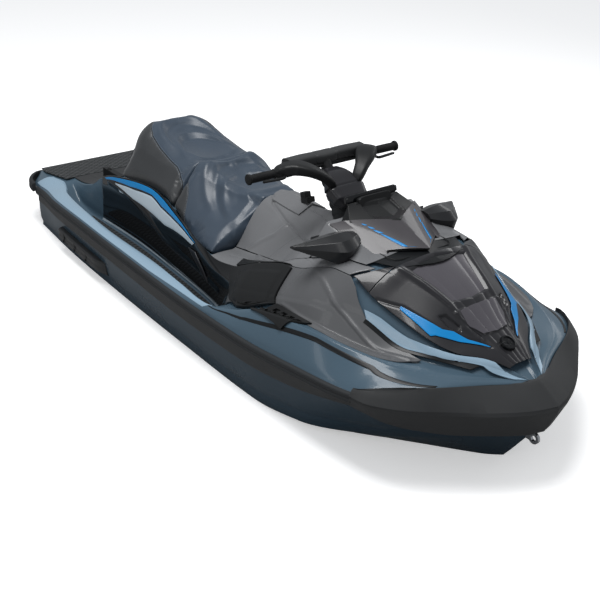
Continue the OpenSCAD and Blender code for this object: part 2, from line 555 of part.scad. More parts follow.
// ---- jet pump --------------------------------------------------------------
pump_back = transom_x + 25;
pump_front = transom_x + 262;
stator_front = transom_x + 165;
stator_back = transom_x + 115;
venturi_r = 48;
hub_r = 28;
nozzle_x = transom_x - 2;
nozzle_r = 62;
nozzle_wall = 6;
module spun(p) translate([0, 0, pump_z]) rotate([0, 90, 0]) rotate_extrude($fn = 96) polygon(p);
module pump_housing() color("#8d9194") {
    outer = pump_r + pump_wall;
    difference() {
        union() {
            spun([[pump_r, stator_back], [outer, stator_back], [outer, pump_front - 10],
                  [tunnel_r - seat_gap, pump_front - 10], [tunnel_r - seat_gap, pump_front],
                  [pump_r, pump_front]]);
            spun([[venturi_r - 6, nozzle_x - 22], [venturi_r, nozzle_x - 22], [venturi_r, pump_back],
                  [outer, stator_back], [pump_r, stator_back + 1], [venturi_r - 6, pump_back]]);
            spun([[0, stator_back], [hub_r, stator_back], [hub_r, stator_front], [0, stator_front]]);
            for (a = [0 : 60 : 300]) translate([stator_back + 4, 0, pump_z]) rotate([a, 0, 0])
                translate([0, -2, hub_r - 2]) cube([stator_front - stator_back - 8, 4, pump_r - hub_r + 4]);
            for (s = [0, 180]) translate([nozzle_x, 0, pump_z]) rotate([s, 0, 0])
                translate([0, 0, venturi_r - 3]) cylinder(h = nozzle_r + nozzle_wall - venturi_r + 5, r = pivot_r, $fn = 32);
        }
        along_x(stator_back - 1, stator_front + 1, prop_shaft_r + fit, pump_z);
    }
}
module impeller() color("#b9bcbe") {
    spun([[0, stator_back + 2], [prop_shaft_r, stator_back + 2], [prop_shaft_r, stator_front + 2],
          [hub_r, stator_front + 2], [hub_r * 0.8, pump_front - 14], [prop_shaft_r, pump_front + 4],
          [prop_shaft_r, tunnel_front - move_gap], [0, tunnel_front - move_gap]]);
    intersection() {
        along_x(stator_front + 8, pump_front - 16, pump_r - 1.5, pump_z);
        translate([(stator_front + pump_front - 8) / 2, 0, pump_z]) for (a = [0 : 360 / blades : 359])
            rotate([a, 0, 0]) rotate([0, 0, 52]) translate([-40, -2.5, hub_r * 0.7]) cube([80, 5, 100]);
    }
}
module steering_nozzle() color("#6d7174") difference() {
    union() {
        spun([[nozzle_r, nozzle_x + 8], [nozzle_r + nozzle_wall, nozzle_x + 8],
              [nozzle_r + nozzle_wall, nozzle_x - 20], [outlet_r + nozzle_wall, nozzle_x - 105],
              [outlet_r, nozzle_x - 105], [nozzle_r, nozzle_x - 20]]);
        for (s = [-1, 1]) translate([bucket_x, 0, pump_z]) rotate([s * 90, 0, 0])
            translate([0, 0, outlet_r + 2]) cylinder(h = bucket_y + 4 - outlet_r, r = pivot_r, $fn = 32);
    }
    spun([[0, nozzle_x + 12], [nozzle_r, nozzle_x + 8], [nozzle_r, nozzle_x - 20], [outlet_r, nozzle_x - 105],
          [0, nozzle_x - 110]]);
    translate([nozzle_x, 0, pump_z - 100]) cylinder(h = 200, r = pivot_r + fit, $fn = 32);
}
bucket_x = nozzle_x - 62;
bucket_y = nozzle_r + nozzle_wall + 9;
module bucket_arc(r0, r1, w) translate([bucket_x, 0, pump_z]) rotate([90, 0, 0]) translate([0, 0, -w])
    rotate_extrude_part(r0, r1, 2 * w);
module rotate_extrude_part(r0, r1, h) intersection() {
    difference() {
        cylinder(h = h, r = r1, $fn = 96);
        translate([0, 0, -1]) cylinder(h = h + 2, r = r0, $fn = 96);
    }
    translate([0, 0, -1]) linear_extrude(h + 2)
        polygon([[0, 0], [-200, 50], [-200, 200], [-10, 200], [0, 120]]);
}
module reverse_bucket() color("#55585b") {
    bucket_arc(bucket_r - 7, bucket_r, bucket_y + 6);
    for (s = [-1, 1]) difference() {
        translate([bucket_x, s > 0 ? bucket_y : -bucket_y - 6, pump_z]) rotate([-90, 0, 0]) linear_extrude(6)
            union() {
                circle(r = 18, $fn = 48);
                polygon([[4, -16], [-bucket_r * 0.88, -bucket_r * 0.34], [-bucket_r * 0.5, -bucket_r * 0.8], [0, -bucket_r + 4]]);
            }
        translate([bucket_x, -150, pump_z]) rotate([-90, 0, 0]) cylinder(h = 300, r = pivot_r + fit, $fn = 32);
    }
}
plate_z = -156 * kz;
module ride_plate() color("#7b7f82") translate([transom_x + 2, -tunnel_r + seat_gap, plate_z])
    cube([pump_front - transom_x - 14, 2 * (tunnel_r - seat_gap), plate_t]);
module intake_grate() color("#7b7f82") {
    gl = tunnel_front - pump_front - 2;
    translate([pump_front + 1, -tunnel_r + seat_gap, plate_z]) {
        for (x = [0, gl - 14]) translate([x, 0, 0]) cube([14, 2 * (tunnel_r - seat_gap), plate_t]);
        for (i = [0 : 4]) translate([0, i * (2 * (tunnel_r - seat_gap) - 10) / 4, 0]) cube([gl, 10, plate_t]);
    }
}
// ---- boarding ladder -------------------------------------------------------
ladder_x = transom_x - 26;
ladder_z = -60 * kz;
lug_y = 140;
module ladder_bracket() color("#7b7f82") for (s = [-1, 1]) translate([0, s * lug_y, 0]) difference() {
    union() {
        translate([transom_x - 8 - seat_gap, -16, ladder_z - 26]) cube([8, 32, 52]);
        translate([ladder_x, -9, ladder_z - 16]) cube([transom_x - 4 - ladder_x, 18, 32]);
        translate([ladder_x, 9, ladder_z]) rotate([90, 0, 0]) cylinder(h = 18, r = 16, $fn = 48);
    }
    translate([ladder_x, 20, ladder_z]) rotate([90, 0, 0]) cylinder(h = 40, r = ladder_r + fit, $fn = 48);
}
leg = ladder_l * kz;
module ladder() color("#3b3e41") {
    for (s = [-1, 1]) {
        rod([ladder_x, s * (lug_y - 14), ladder_z], [ladder_x, s * ladder_y, ladder_z], ladder_r);
        rod([ladder_x, s * ladder_y, ladder_z], [ladder_x, s * ladder_y, ladder_z + leg], ladder_r);
        for (z = [0, leg]) translate([ladder_x, s * ladder_y, ladder_z + z])
            sphere(r = ladder_r + 2, $fn = 32);
    }
    rod([ladder_x, -ladder_y, ladder_z + leg], [ladder_x, ladder_y, ladder_z + leg], ladder_r);
}

hull_shell();
deck();
bow_deck();
engine();
rub_rail_s();
rub_rail_p();
bow_bumper();
stern_bumper();
sponson_s();
sponson_p();
platform_mat();
footwell_mats();
side_pod_s();
side_pod_p();
seat_rear();
seat_front();
grab_handle();
cargo_base();
console();
side_panel_s();
side_panel_p();
fairing_s();
fairing_p();
side_vent_s();
side_vent_p();
lower_hood();
nose_cap();
bow_eye();
upper_hood();
visor();
gauge();
mirror_s();
mirror_p();
column();
handlebar();
bar_pad();
grip_s();
grip_p();
throttle_lever();
reverse_lever();
switch_pod();
glovebox_lid();
pump_housing();
intake_grate();
ride_plate();
impeller();
steering_nozzle();
reverse_bucket();
ladder();
ladder_bracket();
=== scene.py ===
"""Looks of a three-seat touring personal watercraft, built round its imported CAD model.

Frame: metres, +X to the bow, +Y to port, +Z up, origin amidships at the waterline.
Every body panel is a patch of a "skin": a surface swept along the craft through the
same drawn lines that the CAD mouldings follow, so panels, seams and stripes that share
a skin fit each other without being placed by hand.
"""
import logging
import math
from dataclasses import dataclass, field
from enum import Enum
from typing import Callable, Sequence

import bmesh
import bpy
import numpy as np
from mathutils import Matrix, Vector


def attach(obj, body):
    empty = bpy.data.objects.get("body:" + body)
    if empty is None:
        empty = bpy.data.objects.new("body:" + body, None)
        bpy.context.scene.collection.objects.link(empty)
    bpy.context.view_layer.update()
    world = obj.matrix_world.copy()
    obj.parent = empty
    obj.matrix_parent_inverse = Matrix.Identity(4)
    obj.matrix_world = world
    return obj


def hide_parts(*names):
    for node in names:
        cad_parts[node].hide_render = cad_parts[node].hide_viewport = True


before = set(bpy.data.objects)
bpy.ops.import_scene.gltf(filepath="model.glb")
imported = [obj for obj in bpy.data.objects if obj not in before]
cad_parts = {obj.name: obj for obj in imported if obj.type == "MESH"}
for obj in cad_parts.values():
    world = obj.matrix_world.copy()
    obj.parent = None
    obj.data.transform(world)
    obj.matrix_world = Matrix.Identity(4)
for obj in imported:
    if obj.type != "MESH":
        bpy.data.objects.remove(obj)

logging.basicConfig(level=logging.INFO, format="%(message)s")
log = logging.getLogger("watercraft")

MM = 0.001
Array = np.ndarray
Row = Callable[[Array], Array]
Path = Sequence[Sequence[float]]


class Side(Enum):
    """Which side of the centre plane a piece is on; the value is the sign of Y."""

    STARBOARD = -1
    PORT = 1

    @property
    def tag(self) -> str:
        """Ending of the piece's name."""
        return "s" if self is Side.STARBOARD else "p"


class Pattern(Enum):
    """Relief that a finish carries besides its fine grain."""

    PLAIN = "plain"
    FLAKE = "flake"
    DIAMOND = "diamond"
    RIBBED = "ribbed"
    BRUSHED = "brushed"
    LEATHER = "leather"


# --------------------------------------------------------------------------
# Lines and skins
# --------------------------------------------------------------------------
def unit(v: Array) -> Array:
    """Vectors along the last axis divided by their lengths."""
    return v / np.maximum(np.linalg.norm(v, axis=-1, keepdims=True), 1e-9)


class Line:
    """A smooth line along the craft through drawn points (x, y, z) in millimetres.

    Between two points each of y and z is the cubic that meets both points with the
    harmonic mean of the neighbouring slopes, or no slope at a turning point, so the
    line never swings past its own points.
    """

    def __init__(self, *points: Sequence[float]) -> None:
        """Keep the points in metres and work out the slopes.

        Args:
            points: rows of x, y, z in millimetres, with x rising.
        """
        table = np.array(points, float) * MM
        self.x, self.yz = table[:, 0], table[:, 1:]
        rise = np.diff(self.yz, axis=0) / np.diff(self.x)[:, None]
        a, b = rise[:-1], rise[1:]
        same = a * b > 0
        inner = np.where(same, 2 * a * b / np.where(same, a + b, 1), 0)
        self.slope = np.vstack([rise[:1], inner, rise[-1:]])

    def __call__(self, x: Array) -> Array:
        """Points (y, z) of the line at each x, in metres."""
        x = np.clip(x, self.x[0], self.x[-1])
        i = np.clip(np.searchsorted(self.x, x, "right") - 1, 0, len(self.x) - 2)
        h = (self.x[i + 1] - self.x[i])[..., None]
        s = (x - self.x[i])[..., None] / h
        return (
            (2 * s**3 - 3 * s**2 + 1) * self.yz[i]
            + (s**3 - 2 * s**2 + s) * h * self.slope[i]
            + (3 * s**2 - 2 * s**3) * self.yz[i + 1]
            + (s**3 - s**2) * h * self.slope[i + 1]
        )


class Skin:
    """A surface swept through rows: point(x, v) lies on the section at x.

    Row k of the section is reached at v = k. Between rows the section is straight,
    bulged by a parabola of the span's crown; round each inner row a quadratic curve
    from round * span before it to round * span after it takes the place of the corner.
    """

    def __init__(self, rows: Sequence[Row], rounding: Sequence[float], crown: Sequence[float], side: Side) -> None:
        """Keep the rows.

        Args:
            rows: functions from x to (y, z), from the outer or lower edge inwards.
            rounding: share of the span that a corner's curve takes, for each row.
            crown: height of the bulge in metres, for each span.
            side: the side of the craft; a starboard skin is the port one mirrored.
        """
        self.rows = list(rows)
        self.rounding, self.crown = np.array(rounding, float), np.array(crown, float)
        self.side = side

    def point(self, x: Array, v: Array) -> Array:
        """Points of the surface, shape (..., 3), at x along the craft and v across."""
        x, v = np.broadcast_arrays(np.asarray(x, float), np.asarray(v, float))
        n = len(self.rows)
        p = np.stack([row(x) for row in self.rows], -2)

        def row_at(k: Array) -> Array:
            """Point of row k at each x."""
            return np.take_along_axis(p, k[..., None, None].repeat(2, -1), -2)[..., 0, :]

        k = np.clip(np.floor(v).astype(int), 0, n - 2)
        f = (v - k)[..., None]
        a, b = row_at(k), row_at(k + 1)
        yz = a + (b - a) * f
        c = np.clip(np.rint(v).astype(int), 1, n - 2)
        r = self.rounding[c][..., None]
        s = np.clip((v[..., None] - (c[..., None] - r)) / (2 * r), 0, 1)
        mid = row_at(c)
        before = mid + (row_at(c - 1) - mid) * r
        after = mid + (row_at(c + 1) - mid) * r
        bend = (1 - s) ** 2 * before + 2 * s * (1 - s) * mid + s**2 * after
        yz = np.where(np.abs(v - c)[..., None] < r, bend, yz)
        run = b - a
        out = unit(np.stack([-run[..., 1], run[..., 0]], -1))
        yz = yz - out * (self.crown[k] * 4 * (v - k) * (1 - (v - k)))[..., None]
        return np.stack([x, yz[..., 0] * self.side.value, yz[..., 1]], -1)

    def normal(self, x: Array, v: Array) -> Array:
        """Unit normals that point out of the craft: cross product of the two small steps."""
        d = 0.004
        top = len(self.rows) - 1
        dx = self.point(x + d, v) - self.point(x - d, v)
        dv = self.point(x, np.clip(v + 0.02, 0, top)) - self.point(x, np.clip(v - 0.02, 0, top))
        return unit(np.cross(dv, dx) * self.side.value)


def walk(path: Path, n: int) -> Array:
    """n points along a path (x, v) of straight legs, evenly spaced by its length.

    A step of 1 in v counts as 0.3 m, about what it is on the craft.
    """
    p = np.array(path, float)
    leg = np.linalg.norm(np.diff(p * [1.0, 0.3], axis=0), axis=1)
    s = np.concatenate([[0], np.cumsum(leg)])
    t = np.linspace(0, s[-1], n)
    return np.stack([np.interp(t, s, p[:, c]) for c in (0, 1)], -1)


def smooth_path(path: Path, n: int) -> Array:
    """n points of the smooth curve (Catmull-Rom cubics) through a path's points."""
    p = np.array(path, float)
    q = np.vstack([2 * p[0] - p[1], p, 2 * p[-1] - p[-2]])
    leg = np.linalg.norm(np.diff(p, axis=0), axis=1)
    at = np.concatenate([[0], np.cumsum(leg)])
    t = np.linspace(0, at[-1], n)
    i = np.clip(np.searchsorted(at, t, "right") - 1, 0, len(p) - 2)
    s = ((t - at[i]) / leg[i])[:, None]
    a, b, c, d = q[i], q[i + 1], q[i + 2], q[i + 3]
    return 0.5 * (2 * b + (c - a) * s + (2 * a - 5 * b + 4 * c - d) * s**2
                  + (3 * b - a - 3 * c + d) * s**3)


# --------------------------------------------------------------------------
# Meshes
# --------------------------------------------------------------------------
def grid_faces(nu: int, nv: int, wrap_u: bool = False, wrap_v: bool = False) -> Array:
    """Quads of a grid of nu by nv points, closed round u or v on request."""
    i = np.arange(nu if wrap_u else nu - 1)[:, None]
    j = np.arange(nv if wrap_v else nv - 1)[None, :]
    i2, j2 = (i + 1) % nu, (j + 1) % nv
    quads = np.stack(np.broadcast_arrays(i * nv + j, i2 * nv + j, i2 * nv + j2, i * nv + j2), -1)
    return quads.reshape(-1, 4)


def placed(name: str, data: bpy.types.ID) -> bpy.types.Object:
    """Object of a mesh, lamp or camera, linked into the scene."""
    obj = bpy.data.objects.new(name, data)
    bpy.context.scene.collection.objects.link(obj)
    return obj


def new_object(name: str, points: Array, faces: Sequence) -> bpy.types.Object:
    """Object at the origin from points in the row frame and lists of corners."""
    mesh = bpy.data.meshes.new(name)
    mesh.from_pydata(np.asarray(points).reshape(-1, 3).tolist(), [], faces)
    mesh.validate()
    return placed(name, mesh)


def vertex_data(mesh: bpy.types.Mesh, what: str = "co") -> Array:
    """Places ("co") or normals ("normal") of a mesh's vertices, shape (n, 3)."""
    data = np.empty(len(mesh.vertices) * 3)
    mesh.vertices.foreach_get(what, data)
    return data.reshape(-1, 3)


def carried(points: Array, place: Matrix) -> Array:
    """Points of a local frame carried into the row frame."""
    m = np.array(place)
    return points @ m[:3, :3].T + m[:3, 3]


def all_round(half: Array) -> Array:
    """Whole rings (y, z) from half rings, shape (stations, points, 2), mirrored in y."""
    return np.concatenate([half, (half * [-1, 1])[:, -2:0:-1]], 1)


def stations(x: Array, rings: Array, side: Side = Side.PORT) -> Array:
    """Points (x, y, z) from rings (y, z), one ring or row for each x; starboard turns y over."""
    x = np.broadcast_to(np.reshape(x, (-1, 1, 1)), rings.shape[:2] + (1,))
    return np.concatenate([x, rings * [side.value, 1]], -1)


def superellipse(n: int, power: float | tuple[float, float]) -> Array:
    """n points (u, w) of a rounded box: sign(cos a) |cos a|^p and sign(sin a) |sin a|^q."""
    a = np.linspace(0, 2 * math.pi, n, endpoint=False)
    wave = np.stack([np.cos(a), np.sin(a)], -1)
    return np.sign(wave) * np.abs(wave) ** np.array(power)


def between(ends: Path, s: Array) -> Array:
    """Points at shares s of the way from the first of two ends to the second."""
    a, b = np.array(ends, float)
    return a + s[..., None] * (b - a)


def averaged(values: Array) -> Array:
    """Each value as the mean of the seven round it, with the ends turned over."""
    return np.convolve(np.pad(values, 3, mode="reflect", reflect_type="odd"), np.ones(7) / 7, "valid")


def tidy(obj: bpy.types.Object, recalc: bool) -> None:
    """Merge doubled points, and turn a closed mesh's faces outwards if asked."""
    work = bmesh.new()
    work.from_mesh(obj.data)
    bmesh.ops.remove_doubles(work, verts=work.verts, dist=2e-5)
    bmesh.ops.dissolve_degenerate(work, edges=work.edges, dist=1e-5)
    if recalc:
        bmesh.ops.recalc_face_normals(work, faces=work.faces)
    work.to_mesh(obj.data)
    work.free()


def sheet(name: str, points: Array, facing: Sequence[float], wrap_v: bool = False) -> bpy.types.Object:
    """Open surface from a grid, its faces turned so that they look towards facing.

    Args:
        name: the piece's name.
        points: grid of points, shape (nu, nv, 3).
        facing: direction that most faces should look in.
        wrap_v: close the grid round its second index.

    Returns:
        The sheet's object.
    """
    quads = grid_faces(*points.shape[:2], False, wrap_v)
    p = points.reshape(-1, 3)
    area = np.cross(p[quads[:, 2]] - p[quads[:, 0]], p[quads[:, 3]] - p[quads[:, 1]])
    if area.sum(0) @ np.array(facing, float) < 0:
        quads = quads[:, ::-1]
    obj = new_object(name, p, quads.tolist())
    tidy(obj, recalc=False)
    return obj


def solid(name: str, points: Array) -> bpy.types.Object:
    """Closed body from rings of points, shape (rings, points, 3), with flat end caps."""
    nu, nv = points.shape[:2]
    faces = grid_faces(nu, nv, False, True).tolist()
    faces += [list(range(nv))[::-1], list(range((nu - 1) * nv, nu * nv))]
    obj = new_object(name, points, faces)
    tidy(obj, recalc=True)
    return obj


def joined(name: str, parts: Sequence[bpy.types.Object]) -> bpy.types.Object:
    """One object from several meshes, whose own objects go."""
    work = bmesh.new()
    for part in parts:
        work.from_mesh(part.data)
    mesh = bpy.data.meshes.new(name)
    work.to_mesh(mesh)
    work.free()
    for part in parts:
        bpy.data.objects.remove(part)
    return placed(name, mesh)


def modifier(obj: bpy.types.Object, kind: str, **settings: object) -> None:
    """Add a modifier and set its values."""
    mod = obj.modifiers.new(kind.title(), kind)
    for key, value in settings.items():
        setattr(mod, key, value)


def wall(obj: bpy.types.Object, thickness: float, edge: float = 0.0012) -> bpy.types.Object:
    """Give a sheet its wall thickness inwards, with rounded rims.

    Args:
        obj: the sheet, its faces turned outwards.
        thickness: wall in metres.
        edge: width in metres of the rounding along the rims.

    Returns:
        The same object.
    """
    modifier(obj, "SOLIDIFY", thickness=thickness, offset=-1, use_even_offset=False)
    return bevel(obj, edge, 2, 50) if edge else obj


def bevel(obj: bpy.types.Object, width: float, segments: int = 2, angle: float = 35) -> bpy.types.Object:
    """Round the edges of a body that are sharper than angle, in degrees."""
    modifier(obj, "BEVEL", width=width, segments=segments, limit_method="ANGLE",
             angle_limit=math.radians(angle))
    return obj


def shade(obj: bpy.types.Object, sharp: float = 40) -> bpy.types.Object:
    """Smooth shading, with edges sharper than the angle in degrees kept crisp."""
    obj.data.shade_smooth()
    obj.data.set_sharp_from_angle(angle=math.radians(sharp))
    return obj


def square_to(path: Array, up: Sequence[float]) -> tuple[Array, Array]:
    """Unit vectors across and over a path at each point, square to the way it runs."""
    across = unit(np.cross(unit(np.gradient(path, axis=0)), np.array(up, float)))
    return across, np.cross(across, unit(np.gradient(path, axis=0)))


def tube(name: str, path: Array, radius: float | Array, sides: int = 20, flat: float = 1.0,
         up: Sequence[float] = (0, 0, 1)) -> bpy.types.Object:
    """Round or oval body carried along a path.

    Each ring is path + radius * (cos a * across + flat * sin a * over).

    Args:
        name: the piece's name.
        path: points of the centre line, shape (n, 3).
        radius: radius in metres, for all or each point.
        sides: points round the ring.
        flat: height of the ring over its width.
        up: direction that over leans to.

    Returns:
        The tube's object.
    """
    across, over = square_to(path, up)
    r = np.broadcast_to(np.asarray(radius, float), (len(path),))[:, None, None]
    a = np.linspace(0, 2 * math.pi, sides, endpoint=False)[None, :, None]
    return solid(name, path[:, None] + r * (np.cos(a) * across[:, None] + flat * np.sin(a) * over[:, None]))


def turned(name: str, profile: Path, place: Matrix, sides: int = 48) -> bpy.types.Object:
    """Body turned on a lathe: profile of (radius, height) spun round the local Z.

    Args:
        name: the piece's name.
        profile: closed outline in metres.
        place: matrix that carries the local frame into the row frame.
        sides: steps round.

    Returns:
        The turned object.
    """
    p = np.array(profile, float)
    a = np.linspace(0, 2 * math.pi, sides, endpoint=False)[:, None]
    points = np.stack([p[:, 0] * np.cos(a), p[:, 0] * np.sin(a), np.broadcast_to(p[:, 1], (sides, len(p)))], -1)
    obj = new_object(name, carried(points, place), grid_faces(sides, len(p), True, True).tolist())
    tidy(obj, recalc=True)
    return obj


def block(name: str, low: Sequence[float], high: Sequence[float], place: Matrix = Matrix(),
          edge: float = 0.003) -> bpy.types.Object:
    """Box with rounded edges.

    Args:
        name: the piece's name.
        low: one corner in the local frame.
        high: the corner across from it.
        place: matrix that carries the local frame into the row frame.
        edge: radius of its edges in metres, or 0 for sharp ones.

    Returns:
        The box's object.
    """
    lo, hi = np.array(low, float), np.array(high, float)
    u = np.array([[0, 0], [1, 0], [1, 1], [0, 1]], float)
    ring = [np.column_stack([np.full(4, z), u]) for z in (0.0, 1.0)]
    obj = solid(name, carried(lo + (hi - lo) * np.array(ring), place))
    return bevel(obj, edge, 3) if edge else obj


# --------------------------------------------------------------------------
# Finishes
# --------------------------------------------------------------------------
def linear(colour: str) -> tuple[float, float, float, float]:
    """Linear RGBA of an sRGB hex colour."""
    c = np.array([int(colour[i : i + 2], 16) for i in (1, 3, 5)]) / 255
    c = np.where(c <= 0.04045, c / 12.92, ((c + 0.055) / 1.055) ** 2.4)
    return float(c[0]), float(c[1]), float(c[2]), 1.0


def add(tree: bpy.types.NodeTree, kind: str, attributes: dict | None = None,
        values: dict | None = None, links: dict | None = None) -> bpy.types.Node:
    """Add a node with its settings and links.

    Args:
        tree: the node tree.
        kind: the node's type.
        attributes: settings of the node itself.
        values: values of its inputs, by name or number.
        links: sockets linked into its inputs.

    Returns:
        The node.
    """
    n = tree.nodes.new(kind)
    for key, value in (attributes or {}).items():
        setattr(n, key, value)
    for key, value in (values or {}).items():
        n.inputs[key].default_value = value
    for key, source in (links or {}).items():
        tree.links.new(source, n.inputs[key])
    return n


def blank_tree(owner: bpy.types.Material | bpy.types.World) -> bpy.types.NodeTree:
    """Empty node tree of a material or of the world."""
    owner.use_nodes = True
    owner.node_tree.nodes.clear()
    return owner.node_tree


@dataclass(frozen=True)
class Finish:
    """One surface finish: what the material is, its colour and its relief.

    Attributes:
        name: the material's common name and how its surface was made.
        colour: sRGB hex.
        roughness: 0 to 1.
        metallic: 0 or 1.
        coat: weight of a clear coat over it.
        sheen: weight of the soft glow of cloth and foam.
        grain_mm: size of its finest grain.
        grain_depth_mm: depth of that grain.
        mottle: share by which the colour varies.
        mottle_mm: size of that variation.
        pattern: larger relief; diamond and ribbed ones also darken their grooves in the colour as painted shade, and a
            flake one lightens its spots as a painted glint.
        pitch_mm: spacing of the pattern.
        depth_mm: depth of the pattern.
        specular: level of the dielectric's reflection.
    """

    name: str
    colour: str
    roughness: float = 0.4
    metallic: float = 0.0
    coat: float = 0.0
    sheen: float = 0.0
    grain_mm: float = 1.0
    grain_depth_mm: float = 0.05
    mottle: float = 0.08
    mottle_mm: float = 120.0
    pattern: Pattern = Pattern.PLAIN
    pitch_mm: float = 10.0
    depth_mm: float = 0.5
    specular: float = 0.22

    def material(self) -> bpy.types.Material:
        """The Blender material, made once."""
        found = bpy.data.materials.get(self.name)
        if found:
            return found
        mat = bpy.data.materials.new(self.name)
        mat.diffuse_color = linear(self.colour)
        tree = blank_tree(mat)
        place = add(tree, "ShaderNodeTexCoord").outputs["Object"]
        base = linear(self.colour)
        dark = tuple(c * (1 - self.mottle) for c in base[:3]) + (1.0,)
        pale = tuple(min(1.0, c * (1 + self.mottle)) for c in base[:3]) + (1.0,)
        broad = add(tree, "ShaderNodeTexNoise", values={"Scale": 1 / (self.mottle_mm * MM), "Detail": 3.0},
                    links={"Vector": place})
        tint = add(tree, "ShaderNodeMix", {"data_type": "RGBA"}, links={"Factor": broad.outputs["Fac"]})
        tint.inputs["A"].default_value, tint.inputs["B"].default_value = dark, pale
        colour = tint.outputs["Result"]
        fine = add(tree, "ShaderNodeTexNoise", values={"Scale": 1 / (self.grain_mm * MM), "Detail": 2.0},
                   links={"Vector": place})
        rough = add(tree, "ShaderNodeMapRange",
                    values={"To Min": max(0.02, self.roughness * 0.85), "To Max": min(1.0, self.roughness * 1.15)},
                    links={"Value": broad.outputs["Fac"]})
        bump = add(tree, "ShaderNodeBump", values={"Strength": 1.0, "Distance": self.grain_depth_mm * MM},
                   links={"Height": fine.outputs["Fac"]})
        relief = self.relief(tree, place)
        if relief is not None:
            bump = add(tree, "ShaderNodeBump", values={"Strength": 1.0, "Distance": self.depth_mm * MM},
                       links={"Height": relief, "Normal": bump.outputs["Normal"]})
            if self.pattern in (Pattern.DIAMOND, Pattern.RIBBED):
                # painted shade: a diamond or ribbed pattern darkens the colour in its grooves, down to 0.35 of it
                shaded = add(tree, "ShaderNodeMix", {"data_type": "RGBA", "blend_type": "MULTIPLY"},
                             links={"A": colour})
                shaded.inputs["Factor"].default_value = 1.0
                level = add(tree, "ShaderNodeMapRange", values={"To Min": 0.35, "To Max": 1.0},
                            links={"Value": relief})
                tree.links.new(level.outputs["Result"], shaded.inputs["B"])
                colour = shaded.outputs["Result"]
            elif self.pattern is Pattern.FLAKE:
                # painted glint: the flake spots are real, but they are lightened by half the base colour to stand in
                # for their sparkle
                glint = add(tree, "ShaderNodeMix", {"data_type": "RGBA", "blend_type": "ADD"},
                            links={"A": colour, "Factor": relief})
                glint.inputs["B"].default_value = tuple(c * 0.5 for c in base[:3]) + (1.0,)
                colour = glint.outputs["Result"]
        shader = add(tree, "ShaderNodeBsdfPrincipled",
                     values={"Metallic": self.metallic, "Coat Weight": self.coat, "Coat Roughness": 0.06,
                             "Sheen Weight": self.sheen, "Sheen Roughness": 0.4,
                             "Specular IOR Level": self.specular},
                     links={"Base Color": colour, "Roughness": rough.outputs["Result"],
                            "Normal": bump.outputs["Normal"]})
        add(tree, "ShaderNodeOutputMaterial", links={"Surface": shader.outputs["BSDF"]})
        return mat

    def relief(self, tree: bpy.types.NodeTree, place: bpy.types.NodeSocket) -> bpy.types.NodeSocket | None:
        """Height of the pattern from 0 to 1, or None for a plain finish."""
        pitch = self.pitch_mm * MM
        if self.pattern is Pattern.PLAIN:
            return None
        if self.pattern is Pattern.LEATHER:
            # pebbles of the embossed vinyl: cells a few millimetres wide
            cells = add(tree, "ShaderNodeTexVoronoi", {"feature": "SMOOTH_F1"}, {"Scale": 1 / pitch},
                        {"Vector": place})
            return cells.outputs["Distance"]
        if self.pattern is Pattern.FLAKE:
            # metal flake in the paint, drawn coarser than the real 0.1 mm so that it shows
            cells = add(tree, "ShaderNodeTexNoise", values={"Scale": 1 / pitch, "Detail": 1.0}, links={"Vector": place})
            spots = add(tree, "ShaderNodeMapRange", values={"From Min": 0.6, "From Max": 0.8},
                        links={"Value": cells.outputs["Fac"]})
            return spots.outputs["Result"]
        height = None
        for angle in (0.52, -0.52) if self.pattern is Pattern.DIAMOND else (0.0,):
            spun = add(tree, "ShaderNodeMapping", values={"Rotation": (0.0, 0.0, angle)}, links={"Vector": place})
            wave = add(tree, "ShaderNodeTexWave",
                       {"wave_type": "BANDS", "bands_direction": "Y" if self.pattern is Pattern.RIBBED else "X",
                        "wave_profile": "SIN"},
                       {"Scale": math.pi / 10 / pitch, "Distortion": 0.0}, {"Vector": spun.outputs["Vector"]})
            height = wave.outputs["Fac"] if height is None else add(
                tree, "ShaderNodeMath", {"operation": "MULTIPLY"}, links={0: height, 1: wave.outputs["Fac"]}).outputs[0]
        step = add(tree, "ShaderNodeMapRange", values={"From Min": 0.05, "From Max": 0.35}, links={"Value": height})
        return step.outputs["Result"]


GEL = {"grain_mm": 3, "grain_depth_mm": 0.004, "mottle": 0.05, "mottle_mm": 300, "pattern": Pattern.FLAKE,
       "pitch_mm": 1.2, "depth_mm": 0.004}
PAINT = {"coat": 0.3, "grain_mm": 1.5, "grain_depth_mm": 0.01, "mottle": 0.06, "pattern": Pattern.FLAKE,
         "pitch_mm": 1.0, "depth_mm": 0.004}
FILM = {"coat": 0.15, "grain_mm": 2, "grain_depth_mm": 0.004, "mottle": 0.03}
# gelcoat with a fine metal flake: reads as deep, slightly sparkling gloss
HULL_GEL = Finish("gelcoat_slate_sprayed", "#2b3a45", 0.28, coat=0.08, specular=0.12, **GEL)
DECK_GEL = Finish("gelcoat_steel_blue_sprayed", "#425461", 0.24, coat=0.15, specular=0.18, **GEL)
PALE_GEL = Finish("gelcoat_pale_blue_sprayed", "#8198a9", 0.22, coat=0.2, specular=0.2,
                  **GEL | {"mottle": 0.04, "mottle_mm": 200})
LINER_GEL = Finish("gelcoat_black_satin", "#0e1012", 0.35, grain_mm=2, grain_depth_mm=0.01)
# mirror-smooth moulding: nearly black, with clear reflections
GLOSS_BLACK = Finish("abs_piano_black_moulded", "#06080b", 0.07, coat=0.35, grain_mm=4, grain_depth_mm=0.003,
                     mottle=0.1)
# moulded plastics and rubber: a fine spark-eroded grain that breaks up the shine
BUMPER = Finish("polypropylene_charcoal_moulded", "#2e2f30", 0.5, grain_mm=0.9, grain_depth_mm=0.06, mottle=0.1)
RUBBER = Finish("epdm_rubber_extruded", "#26282a", 0.6, mottle=0.1)
SATIN_BLACK = Finish("abs_black_textured", "#161718", 0.42, grain_mm=0.8, mottle=0.1)
